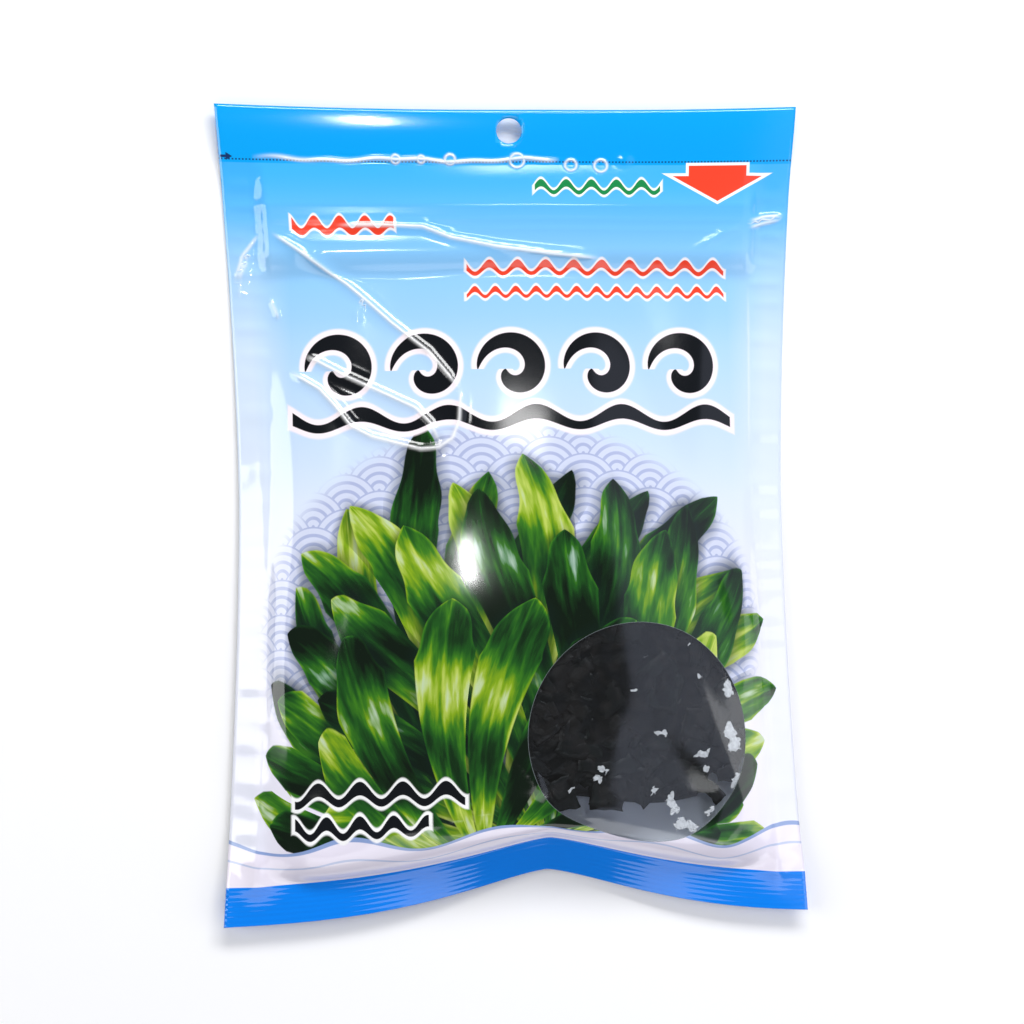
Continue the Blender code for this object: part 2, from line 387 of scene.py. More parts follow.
@dataclass
class FilmSimulation:
    """The cloth run that fills the pouch, at ten times its size, where the solver is steady."""

    form: PouchForm
    step: float = 0.0030
    scale: float = 10.0
    frames: int = 50
    laid_by: int = 25
    litres: float = 0.50
    start_height: float = 0.030
    half_apart: float = 0.0015
    rest_gap: float = 0.0010
    press_up: tuple[float, ...] = (0.012, 0.050, 0.120, 0.180, 0.207)
    press: tuple[float, ...] = (1.0, 1.0, 0.65, 0.35, 0.0)
    ironing: int = 44
    iron_share: float = 0.6
    iron_low_share: float = 0.25
    iron_from: float = 0.090
    iron_over: float = 0.050
    tension: float = 80.0
    bending: float = 2.0

    def run(self) -> FilmGrid:
        """Lays the rim in place while pressure fills the pocket.

        Returns:
            The two films, at real size, with the back film's lowest points on the table.
        """
        form, scale = self.form, self.scale
        columns, rows = round(form.width / self.step), round(form.height / self.step)
        across = np.linspace(-form.half, form.half, columns + 1)
        up = np.linspace(0.0, form.height, rows + 1)
        u, v = np.meshgrid(across, up)
        inside = (np.abs(u) < form.pocket_half - self.step / 2) & (v < form.zip_low - self.step / 2)
        inside &= v > form.bottom_seal + self.step / 2
        front = np.arange(u.size).reshape(u.shape)
        back = front.copy()
        back[inside] = u.size + np.arange(inside.sum())
        flat = np.stack([u, v - form.height / 2, np.full(u.shape, self.start_height)], axis=-1)
        apart = flat[inside] - (0.0, 0.0, self.half_apart)
        flat[inside, 2] += self.half_apart
        x, y = form.on_table(u, v)
        laid = np.stack([x, y, form.lift(u, v) + self.rest_gap], axis=-1)
        start = np.concatenate([flat.reshape(-1, 3), apart]) * scale
        target = np.concatenate([laid.reshape(-1, 3), laid[inside]]) * scale

        pouch = self.cloth_object(start, self.cells(front, back))
        self.key_the_rim(pouch, target)
        rim = pouch.vertex_groups.new(name="rim")
        rim.add(front[~inside].ravel().tolist(), 1.0, "REPLACE")
        fill = pouch.vertex_groups.new(name="fill")
        weight = np.interp(v, self.press_up, self.press)
        for j, i in zip(*np.nonzero(inside)):
            fill.add([int(front[j, i]), int(back[j, i])], float(weight[j, i]), "REPLACE")
        self.give_cloth(pouch)
        table = self.table()

        scene = bpy.context.scene
        scene.frame_start, scene.frame_end = 1, self.frames
        for number in range(1, self.frames + 1):
            scene.frame_set(number)
        done = pouch.evaluated_get(bpy.context.evaluated_depsgraph_get()).data
        points = np.empty(len(done.vertices) * 3)
        done.vertices.foreach_get("co", points)
        points = points.reshape(-1, 3) / scale - (0.0, 0.0, self.rest_gap)
        laid_front, laid_back = (self.settled(points[film], inside, v) for film in (front, back))
        for obj in (pouch, table):
            bpy.data.objects.remove(obj)
        scene.frame_set(1)
        return FilmGrid(across, up, laid_front, laid_back)

    def settled(self, film: np.ndarray, loose: np.ndarray, v: np.ndarray) -> np.ndarray:
        """Irons out the run's small ripples, and over the filling its upright pleats too.

        Args:
            film: the points of one film.
            loose: which of them aren't pinned.
            v: how far up the flat film they are.

        Returns:
            The points, ironed.
        """
        above = smooth((v - self.iron_from) / self.iron_over)
        strength = self.iron_share * (self.iron_low_share + (1 - self.iron_low_share) * above)
        share = np.where(loose, strength, 0.0)[..., None]
        for _ in range(self.ironing):
            around = sum(np.roll(film, shift, axis) for axis in (0, 1) for shift in (-1, 1)) / 4
            film = film + share * (around - film)
        return film

    @staticmethod
    def cells(front: np.ndarray, back: np.ndarray) -> list[list[int]]:
        """The quads of the front film, and those of the back film where it isn't the same film.

        Args:
            front: vertex numbers of the front film's grid.
            back: vertex numbers of the back film's grid, the same on the rim.

        Returns:
            Four vertex numbers for each cell, front faces up and back faces down.
        """
        found = []
        for j in range(front.shape[0] - 1):
            for i in range(front.shape[1] - 1):
                upper = (front[j, i], front[j, i + 1], front[j + 1, i + 1], front[j + 1, i])
                lower = (back[j, i], back[j + 1, i], back[j + 1, i + 1], back[j, i + 1])
                found.append([int(k) for k in upper])
                if set(lower) != set(upper):
                    found.append([int(k) for k in lower])
        return found

    @staticmethod
    def cloth_object(points: np.ndarray, cells: list[list[int]]) -> bpy.types.Object:
        """Makes the flat pouch for the run.

        Args:
            points: its points.
            cells: four vertex numbers for each cell.

        Returns:
            The object, linked to the scene.
        """
        mesh = bpy.data.meshes.new("cloth_pouch")
        mesh.from_pydata(points.tolist(), [], cells)
        return linked("cloth_pouch", mesh)

    def key_the_rim(self, pouch: bpy.types.Object, target: np.ndarray) -> None:
        """Moves the pinned rim from its flat place to its laid place over the first frames.

        Args:
            pouch: the flat pouch.
            target: its points once it is laid.
        """
        pouch.shape_key_add(name="flat")
        laid = pouch.shape_key_add(name="laid")
        laid.data.foreach_set("co", target.ravel().astype(np.float32))
        for frame_number, value in ((1, 0.0), (self.laid_by, 1.0)):
            laid.value = value
            laid.keyframe_insert("value", frame=frame_number)

    def give_cloth(self, pouch: bpy.types.Object) -> None:
        """Gives the pouch a thin, nearly unstretchable film's cloth settings and its filling.

        Args:
            pouch: the pouch, with its vertex groups rim and fill.
        """
        cloth = pouch.modifiers.new("film", "CLOTH")
        cloth.point_cache.frame_end = self.frames
        settings = cloth.settings
        settings.quality = 8
        settings.mass = 0.05
        settings.air_damping = 2.0
        settings.tension_stiffness = self.tension
        settings.compression_stiffness = self.tension
        settings.shear_stiffness = self.tension / 2
        settings.bending_stiffness = self.bending
        settings.tension_damping = 20
        settings.compression_damping = 20
        settings.shear_damping = 15
        settings.bending_damping = 1
        settings.vertex_group_mass = "rim"
        settings.pin_stiffness = 10
        settings.use_pressure = True
        settings.uniform_pressure_force = 1.0
        settings.use_pressure_volume = True
        settings.target_volume = self.litres
        settings.vertex_group_pressure = "fill"
        cloth.collision_settings.distance_min = 0.005
        cloth.collision_settings.use_self_collision = False

    @staticmethod
    def table() -> bpy.types.Object:
        """The surface that the film comes to rest on during the run.

        Returns:
            The surface.
        """
        bpy.ops.mesh.primitive_plane_add(size=8)
        table = bpy.context.object
        table.modifiers.new("stop", "COLLISION")
        table.collision.thickness_outer = 0.005
        table.collision.cloth_friction = 5
        return table


@dataclass(frozen=True)
class Crease:
    """A fold pressed into the front film: its line and its section, in millimetres."""

    line: tuple[tuple[float, float], ...]
    height: float
    half_width: float
    fade: float = 8.0

    @property
    def sharpness(self) -> float:
        """How sharply the film is bent, from 0 for a soft swell to 1 for a hard crease."""
        soft, hard = 0.32, 0.58  # height over half width
        return float(clamp((self.height / self.half_width - soft) / (hard - soft)))

    def measure(self, u: np.ndarray, v: np.ndarray) -> tuple[np.ndarray, np.ndarray]:
        """Where points of the flat film lie beside the crease.

        Args:
            u: across from the middle.
            v: up from the bottom edge.

        Returns:
            The distance from the line in millimetres, signed by its side, and a fade at its ends.
        """
        points = np.array(self.line)
        spans = np.linalg.norm(np.diff(points, axis=0), axis=1)
        total = spans.sum()
        px, py = u / MM, v / MM
        best, along = np.full(px.shape, 1e9), np.zeros(px.shape)
        before = 0.0
        for start, end, span in zip(points[:-1], points[1:], spans):
            direction = (end - start) / span
            dx, dy = px - start[0], py - start[1]
            share = np.clip(dx * direction[0] + dy * direction[1], 0, span)
            gap = np.hypot(dx - share * direction[0], dy - share * direction[1])
            side = np.where(dy * direction[0] - dx * direction[1] < 0, -1.0, 1.0)
            nearer = gap < np.abs(best)
            best = np.where(nearer, gap * side, best)
            along = np.where(nearer, before + share, along)
            before += span
        return best, smooth(along / self.fade) * smooth((total - along) / self.fade)

    def raised(self, off: np.ndarray, ends: np.ndarray) -> np.ndarray:
        """How far the crease lifts the film: a straight-sided ridge with a rounded crest.

        Args:
            off: the distance from the line, in millimetres.
            ends: the fade at the line's ends.

        Returns:
            The lift, in metres.
        """
        out = np.abs(off) / self.half_width
        crest = 0.2
        ridge = np.exp(crest - np.sqrt(out**2 * 2.6 + crest**2)) * smooth(2.4 - out)
        return self.height * MM * ridge * (0.08 + 0.92 * ends)


@dataclass
class FilmSkin:
    """The finished films: the simulated grid, finer, with what welds, zip and handling leave."""

    form: PouchForm
    coarse: FilmGrid
    heel: float = 0.024
    heel_front: tuple[float, float, float] = (0.0, 0.40, 1.10)
    heel_back: tuple[float, float, float] = (0.0, 0.30, -0.80)
    fuller: float = 1.18
    fine_cell: float = 0.00078
    plain_cell: float = 0.0014
    rib_pitch: float = 0.00155
    rib_height: float = 0.00006
    weld_above: float = 0.0012
    weld_height: float = 0.00015
    blister_height: float = 0.0004
    track_height: float = 0.00010
    track_off: float = 0.0016
    line_width: float = 0.0006
    crush_height: float = 0.00022
    heel_fade: float = 0.020
    parting: float = 0.0006
    crease_reach: float = 2.2
    crease_far: float = 9.0
    creases: tuple[Crease, ...] = (
        Crease((
            (-76, 211), (-60, 200.5), (-52, 195), (-46, 190), (-38, 183), (-26, 173.5),
            (-20.5, 166.7), (-16.5, 161.5),
        ), 1.05, 1.7, 6.0),
        Crease(((-48, 189), (-49, 186), (-48, 183)), 0.40, 1.2, 2.0),
        Crease((
            (-66, 173.5), (-53, 166.7), (-40, 160.8), (-30.5, 156.2), (-25.7, 151.2), (-23, 145),
        ), 1.15, 2.0, 5.0),
        Crease((
            (-71, 168.5), (-61, 162.7), (-56, 157.4), (-51, 151.2), (-44.5, 147.8), (-37, 145.7),
            (-29, 143.5), (-23.4, 143.8), (-19.2, 146.6), (-17, 152.2), (-16.3, 163),
        ), 1.00, 1.7, 6.0),
        Crease((
            (-56, 213), (-40, 213), (-28, 212.5), (-19, 209), (-4, 206), (12, 204), (30, 202.5),
        ), 0.84, 1.4),
        Crease(((58, 205), (67, 209.5), (75, 214)), 0.42, 1.5),
        Crease(((77, 214.5), (82, 216), (88, 216.5)), 0.70, 1.0, 2.0),
        Crease(((77, 212.5), (82, 214), (87, 215)), 0.56, 1.0, 2.0),
        Crease(((-88, 196), (-85, 204), (-79, 211)), 0.70, 1.3, 4.0),
        Crease(((-87, 190), (-86, 198), (-83, 203)), 0.56, 1.5, 3.0),
        Crease(((-77, 191), (-75, 187), (-74, 184)), 0.70, 1.5, 2.0),
        Crease(((-62, 31), (-42, 28), (-22, 32), (-2, 36)), 0.70, 2.4),
        Crease(((12, 34), (28, 29), (50, 25), (70, 22)), 0.84, 2.2),
        Crease(((8, 33), (4, 44), (-6, 56)), 0.56, 2.6),
        Crease(((77.5, 196), (78, 170), (78, 140)), 0.42, 1.0, 15.0),
    )
    blisters: tuple[tuple[float, float], ...] = (
        (-35.5, 1.5), (-27.5, 1.2), (-18.5, 1.7), (2.0, 2.2), (36.5, 2.6),
    )
    grid: FilmGrid = field(init=False)
    crease_off: np.ndarray = field(init=False)
    crease_near: np.ndarray = field(init=False)

    def __post_init__(self) -> None:
        """Builds the fine grid and raises its details."""
        form = self.form
        fine, plain = self.fine_cell, self.plain_cell
        across = self.stations(
            (-form.half, plain), (-0.078, fine), (0.030, plain), (form.half, 0.0)
        )
        up = self.stations(
            (0.0, 0.00031),
            (form.bottom_seal, 0.0017),
            (0.138, fine),
            (form.zip_high + 0.002, 0.0014),
            (form.pocket_top - 0.002, 0.0005),
            (form.pocket_top + 0.005, 0.0013),
            (form.height, 0.0),
        )
        self.grid = self.coarse.sharpened(across, up)
        self.round_the_heel()
        self.part_the_films()
        self.press_details()

    @staticmethod
    def stations(*stretches: tuple[float, float]) -> np.ndarray:
        """Stations along the film, in stretches of their own cell size.

        Args:
            stretches: where each stretch starts and its cell size; the last one only ends the row.

        Returns:
            The stations, rising.
        """
        found = [np.array([stretches[0][0]])]
        for (start, cell), (end, _) in zip(stretches[:-1], stretches[1:]):
            found.append(np.linspace(start, end, max(round((end - start) / cell), 1) + 1)[1:])
        return np.concatenate(found)

    def round_the_heel(self) -> None:
        """Fills the pocket out to its bottom seam, where the run leaves a sharp fold."""
        form, grid = self.form, self.grid
        low = int(np.searchsorted(grid.up, form.bottom_seal))
        high = int(np.searchsorted(grid.up, form.bottom_seal + self.heel))
        t = ((grid.up[low:high] - grid.up[low]) / (grid.up[high] - grid.up[low]))[:, None, None]
        length = grid.up[high] - grid.up[low]
        from_side = form.pocket_half - 0.001 - np.abs(grid.across)
        fade = smooth(from_side / self.heel_fade)[None, :, None]
        for film, leaning in ((grid.front, self.heel_front), (grid.back, self.heel_back)):
            first, last = film[low], film[high]
            leave = np.array(leaning) * length
            arrive = (film[high + 2] - film[high]) / (grid.up[high + 2] - grid.up[high]) * length
            swept = (
                (2 * t**3 - 3 * t**2 + 1) * first
                + (t**3 - 2 * t**2 + t) * leave
                + (3 * t**2 - 2 * t**3) * last
                + (t**3 - t**2) * arrive
            )
            film[low:high] += (swept - film[low:high]) * fade

    def part_the_films(self) -> None:
        """Keeps the front film over the back film, and round the zip strips between them."""
        form, grid = self.form, self.grid
        u, v = np.meshgrid(grid.across, grid.up)
        grid.front[..., 2] += (self.fuller - 1) * (grid.front[..., 2] - grid.back[..., 2])
        grid.back[..., 2] = np.maximum(grid.back[..., 2], 0.0) + form.film / 2
        least = form.film + form.weld_gap + form.zip_room(u, v)
        gap = grid.front[..., 2] - grid.back[..., 2]
        soft = self.parting
        wide = 0.5 * (gap + least + np.sqrt((gap - least) ** 2 + soft**2) - soft * 0.5)
        grid.front[..., 2] = grid.back[..., 2] + np.maximum(wide, least)

    def press_details(self) -> None:
        """Raises ribs in the seals, blisters on the weld line, the zip's lines and the creases."""
        form, grid = self.form, self.grid
        u, v = np.meshgrid(grid.across, grid.up)
        self.crease_off = np.full(u.shape, self.crease_far)
        self.crease_near = np.zeros(u.shape)
        rim = 1 - smooth((form.half - 0.002 - np.abs(u)) / 0.001) * 0.6
        in_bottom = smooth((form.bottom_seal - v) / 0.001) * smooth(v / 0.0008)
        ribs = self.rib_height * np.sin(2 * np.pi * v / self.rib_pitch) * in_bottom
        wander = 0.0005 * np.sin(u * 150 + 0.6) + 0.0003 * np.sin(u * 410)
        weld_at = form.pocket_top + self.weld_above
        weld = np.exp(-(((v - weld_at - wander) / self.line_width) ** 2))
        weld *= smooth((u + 0.070) / 0.012) * smooth((0.030 - u) / 0.020)
        raised = ribs * rim + self.weld_height * weld
        for place, radius in self.blisters:
            away = np.hypot(u - place * MM, v - weld_at) / (radius * MM)
            raised += self.blister_height * clamp(1 - away**2) ** 1.2
        for offset in (-self.track_off, self.track_off):
            track = np.exp(-(((v - form.zip_at - offset) / self.line_width) ** 2))
            raised += self.track_height * track * smooth((form.zip_length / 2 - np.abs(u)) / 0.002)
        for crease in self.creases:
            off, ends = crease.measure(u, v)
            raised += crease.raised(off, ends)
            near = smooth(self.crease_reach - np.abs(off)) * ends * crease.sharpness
            nearest = np.abs(off) < np.abs(self.crease_off)
            self.crease_off = np.where(nearest, off, self.crease_off)
            self.crease_near = np.maximum(self.crease_near, near)
        crush = smooth((np.abs(u) - form.pocket_half + 0.003) / 0.002)
        crush *= smooth((form.half - np.abs(u)) / 0.003)
        crush *= smooth(v / 0.02) * smooth((form.pocket_top - v) / 0.01)
        waves = np.sin(v * 780 + 5 * np.sin(v * 61)) * np.sin(v * 143 + 9 * u / form.half)
        raised += self.crush_height * crush * np.maximum(waves, -0.2)
        shared = 0.5 * ribs * rim
        normals = self.normals(grid.front)
        grid.front += normals * raised[..., None]
        grid.back[..., 2] += np.maximum(shared, 0.0)

    def normals(self, points: np.ndarray) -> np.ndarray:
        """Unit normals of a grid of points, facing up.

        Args:
            points: the grid of points.

        Returns:
            A normal for each point.
        """
        along = np.gradient(points, self.grid.across, axis=1)
        up = np.gradient(points, self.grid.up, axis=0)
        found = np.cross(along, up)
        return found / np.linalg.norm(found, axis=-1, keepdims=True)

    def at(self, u: np.ndarray, v: np.ndarray) -> tuple[np.ndarray, np.ndarray]:
        """Reads both films at loose points of the flat film.

        Args:
            u: across from the middle.
            v: up from the bottom edge.

        Returns:
            The points of the front film and of the back film.
        """
        grid = self.grid
        i = np.clip(np.searchsorted(grid.across, u) - 1, 0, len(grid.across) - 2)
        j = np.clip(np.searchsorted(grid.up, v) - 1, 0, len(grid.up) - 2)
        s = clamp((u - grid.across[i]) / (grid.across[i + 1] - grid.across[i]))[:, None]
        t = clamp((v - grid.up[j]) / (grid.up[j + 1] - grid.up[j]))[:, None]
        front, back = (
            (film[j, i] * (1 - s) + film[j, i + 1] * s) * (1 - t)
            + (film[j + 1, i] * (1 - s) + film[j + 1, i + 1] * s) * t
            for film in (grid.front, grid.back)
        )
        return front, back


class Side(Enum):
    """The two films."""

    FRONT = "front"
    BACK = "back"


@dataclass
class FilmPanel:
    """One film panel of the pouch, cut from its film and punched for the hang hole."""

    form: PouchForm
    skin: FilmSkin
    side: Side
    finish: Callable[[], bpy.types.Material]
    thickness: float = 0.00018

    def build(self) -> bpy.types.Object:
        """Makes the panel.

        Returns:
            The panel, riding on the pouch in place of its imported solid.
        """
        name = f"{self.side.value}_panel"
        points = self.skin.grid.front if self.side is Side.FRONT else self.skin.grid.back
        panel = self.film_mesh(f"{self.side.value}_film", points)
        panel.data.materials.append(self.finish())
        thick = panel.modifiers.new("film_thickness", "SOLIDIFY")
        thick.thickness = self.thickness
        thick.offset = 0.0
        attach(panel, "root")
        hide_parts(name)
        log.info("%s: %d faces", panel.name, len(panel.data.polygons))
        return panel

    def film_mesh(self, name: str, points: np.ndarray) -> bpy.types.Object:
        """Makes the film's grid, with its flat place in a UV map, and punches the hole.

        Args:
            name: the object's name.
            points: the film's grid of points.

        Returns:
            The object, smooth shaded.
        """
        grid = self.skin.grid
        rows, columns = points.shape[:2]
        number = np.arange(rows * columns).reshape(rows, columns)
        quads = grid_quads(number)
        u, v = np.meshgrid(grid.across, grid.up)
        away = np.hypot(u, v - self.form.hole_up)
        centre = (away[:-1, :-1] + away[:-1, 1:] + away[1:, 1:] + away[1:, :-1]) / 4
        kept = centre > self.form.hole_radius
        points = self.round_the_hole(points, u, v, away, kept)
        mesh = bpy.data.meshes.new(name)
        mesh.from_pydata(points.reshape(-1, 3).tolist(), [], quads[kept].tolist())
        flat = np.stack([(u + self.form.half) / SHEET_UNIT, v / SHEET_UNIT], axis=-1).reshape(-1, 2)
        corners = np.empty(len(mesh.loops), dtype=np.int64)
        mesh.loops.foreach_get("vertex_index", corners)
        mesh.uv_layers.new(name="flat_film").data.foreach_set("uv", flat[corners].ravel())
        mesh.polygons.foreach_set("use_smooth", [True] * len(mesh.polygons))
        if self.side is Side.FRONT:
            # the crease distances feed the crease bump and the painted white crease highlight in the material
            for label in ("crease_off", "crease_near"):
                values = getattr(self.skin, label).ravel()
                mesh.attributes.new(label, "FLOAT", "POINT").data.foreach_set("value", values)
        film = bmesh.new()
        film.from_mesh(mesh)
        bmesh.ops.delete(film, geom=[w for w in film.verts if not w.link_faces], context="VERTS")
        film.to_mesh(mesh)
        film.free()
        return linked(name, mesh)

    def round_the_hole(
        self, points: np.ndarray, u: np.ndarray, v: np.ndarray, away: np.ndarray, kept: np.ndarray
    ) -> np.ndarray:
        """Draws the grid points on the hole's ragged edge onto its circle.

        Args:
            points: the film's points.
            u, v: their flat places; not used.
            away: their distances from the hole's centre.
            kept: for each cell, whether it stays.

        Returns:
            The points, with a round hole.
        """
        whole = np.pad(kept, 1, constant_values=True)
        corners = (whole[:-1, :-1], whole[:-1, 1:], whole[1:, :-1], whole[1:, 1:])
        touched = np.any([~c for c in corners], axis=0) & np.any(corners, axis=0)
        front, back = self.skin.at(np.array([0.0]), np.array([self.form.hole_up]))
        middle = (front if self.side is Side.FRONT else back)[0]
        moved = points.copy()
        pull = (self.form.hole_radius / np.maximum(away, 1e-9))[..., None]
        moved[touched] = middle + (points[touched] - middle) * pull[touched]
        moved[touched, 2] = points[touched, 2]
        return moved


def new_material(name: str) -> tuple[bpy.types.Material, bpy.types.NodeTree]:
    """An empty node material and its tree.

    Args:
        name: the material's name.

    Returns:
        The material and the tree.
    """
    material = bpy.data.materials.new(name)
    material.use_nodes = True
    material.node_tree.nodes.clear()
    return material, material.node_tree


@dataclass(frozen=True)
class InkShape:
    """A printed shape: how far each point is from its edge in millimetres, more than 0 inside."""

    depth: bpy.types.NodeSocket

    def mask(
        self, tree: bpy.types.NodeTree, grown: float = 0.0, soft: float = 0.12
    ) -> bpy.types.Node:
        """Turns the shape into a mask.

        Args:
            tree: the node tree.
            grown: how far its edge moves out, in millimetres.
            soft: half the width of its soft edge, in millimetres.

        Returns:
            A node whose value is 1 inside.
        """
        return add(tree, RANGE, {
            "Value": self.depth, "From Min": -grown - soft, "From Max": -grown + soft,
        }, interpolation_type="SMOOTHSTEP")


@dataclass
class Artwork:
    """The print of the front film, built up in layers of ink over a sky-blue ground.

    Every place is in millimetres on the flat film: across from the middle, and up from the bottom.
    """

    tree: bpy.types.NodeTree
    across: bpy.types.NodeSocket = field(init=False)
    up: bpy.types.NodeSocket = field(init=False)
    ink: Any = field(init=False, default=None)

    def __post_init__(self) -> None:
        """Reads the flat film's place from its UV map."""
        flat = add(self.tree, "ShaderNodeUVMap", uv_map="flat_film")
        unit = SHEET_UNIT / MM
        place = add(self.tree, VectorSum.TIMES_PLUS, [flat, (unit, unit, 0.0), (-90.0, 0.0, 0.0)])
        parts = add(self.tree, PART, [place])
        self.across, self.up = parts.outputs["X"], parts.outputs["Y"]

    def lay(self, colour: Any, mask: Any) -> None:
        """Prints a colour over what is there.

        Args:
            colour: a hex colour or a colour socket.
            mask: where it prints, from 0 to 1.
        """
        ink = linear(colour) if isinstance(colour, str) else colour
        self.ink = add(self.tree, MIX, {0: mask, 6: self.ink, 7: ink}, data_type="RGBA").outputs[2]

    def between(self, value: Any, low: float, high: float) -> InkShape:
        """The strip in which a value lies between two others.

        Args:
            value: a socket or a node.
            low, high: the strip's edges.

        Returns:
            The strip.
        """
        centre, half = (low + high) / 2, (high - low) / 2
        off = add(self.tree, Sum.MINUS, [value, centre])
        away = add(self.tree, Sum.ABS, [off])
        return InkShape(add(self.tree, Sum.MINUS, [half, away]).outputs[0])

    def inside_both(self, *shapes: InkShape) -> InkShape:
        """What all the shapes have in common.

        Args:
            shapes: at least one shape.

        Returns:
            What they share.
        """
        depth = shapes[0].depth
        for shape in shapes[1:]:
            depth = add(self.tree, Sum.LEAST, [depth, shape.depth]).outputs[0]
        return InkShape(depth)

    def inside_any(self, *shapes: InkShape) -> InkShape:
        """What at least one of the shapes covers.

        Args:
            shapes: at least one shape.

        Returns:
            All of them together.
        """
        depth = shapes[0].depth
        for shape in shapes[1:]:
            depth = add(self.tree, Sum.MOST, [depth, shape.depth]).outputs[0]
        return InkShape(depth)

    def box(self, left: float, right: float, low: float, high: float) -> InkShape:
        """An upright rectangle."""
        return self.inside_both(self.between(self.across, left, right), self.between(self.up, low, high))

    def disc(self, across: float, up: float, radius: float) -> InkShape:
        """A circle.

        Args:
            across, up: its middle.
            radius: its radius.

        Returns:
            The circle.
        """
        place = add(self.tree, JOIN, [self.across, self.up])
        away = add(self.tree, VectorSum.AWAY, [place, (across, up, 0.0)])
        return InkShape(add(self.tree, Sum.MINUS, [radius, away.outputs["Value"]]).outputs[0])

    def wave_rule(
        self, left: float, right: float, level: float, rise: float, pitch: float, thick: float
    ) -> InkShape:
        """A wavy line of brush-like changing thickness.

        Args:
            left, right: its ends.
            level: its middle height.
            rise: how far it swings each way.
            pitch: the length of one wave.
            thick: its greatest thickness.

        Returns:
            The line.
        """
        tree = self.tree
        turn = add(tree, Sum.TIMES, [self.across, math.tau / pitch])
        swing = add(tree, Sum.SINE, [turn])
        line = add(tree, Sum.TIMES_PLUS, [swing, rise, level])
        off = add(tree, Sum.MINUS, [self.up, line])
        away = add(tree, Sum.ABS, [off])
        half = add(tree, Sum.TIMES_PLUS, [swing, thick * 0.10, thick * 0.36])
        depth = InkShape(add(tree, Sum.MINUS, [half, away]).outputs[0])
        return self.inside_both(depth, self.between(self.across, left, right))

    def curls(self, left: float, right: float, level: float, pitch: float) -> InkShape:
        """A row of brushed wave curls.

        Args:
            left, right: the row's ends.
            level: the height of the curls' eyes.
            pitch: the distance between eyes.

        Returns:
            The row.
        """
        tree = self.tree
        start = add(tree, Sum.MINUS, [self.across, left])
        held = add(tree, Sum.MOST, [start, 0.0])
        held = add(tree, Sum.LEAST, [held, right - left - 0.01])
        number = add(tree, Sum.OVER, [held, pitch])
        number = add(tree, Sum.FLOOR, [number])
        eye = add(tree, Sum.TIMES_PLUS, [number, pitch, pitch / 2])
        x = add(tree, Sum.MINUS, [start, eye])
        y = add(tree, Sum.MINUS, [self.up, level])
        wide = add(tree, Sum.TIMES, [x, x])
        square = add(tree, Sum.TIMES_PLUS, [y, y, wide])
        out = add(tree, Sum.ROOT, [square])
        angle = add(tree, Sum.ANGLE, [y, x])
        share = add(tree, Sum.TIMES_PLUS, [angle, 1 / math.tau, 0.5])
        arm = add(tree, Sum.TIMES_PLUS, [share, 8.6, 2.4])
        off = add(tree, Sum.MINUS, [out, arm])
        away = add(tree, Sum.ABS, [off])
        swell = add(tree, Sum.TIMES, [share, math.pi])
        swell = add(tree, Sum.SINE, [swell])
        full = add(tree, Sum.POWER, [swell, 0.7])
        half = add(tree, Sum.TIMES_PLUS, [full, 3.2, 0.1])
        return InkShape(add(tree, Sum.MINUS, [half, away]).outputs[0])


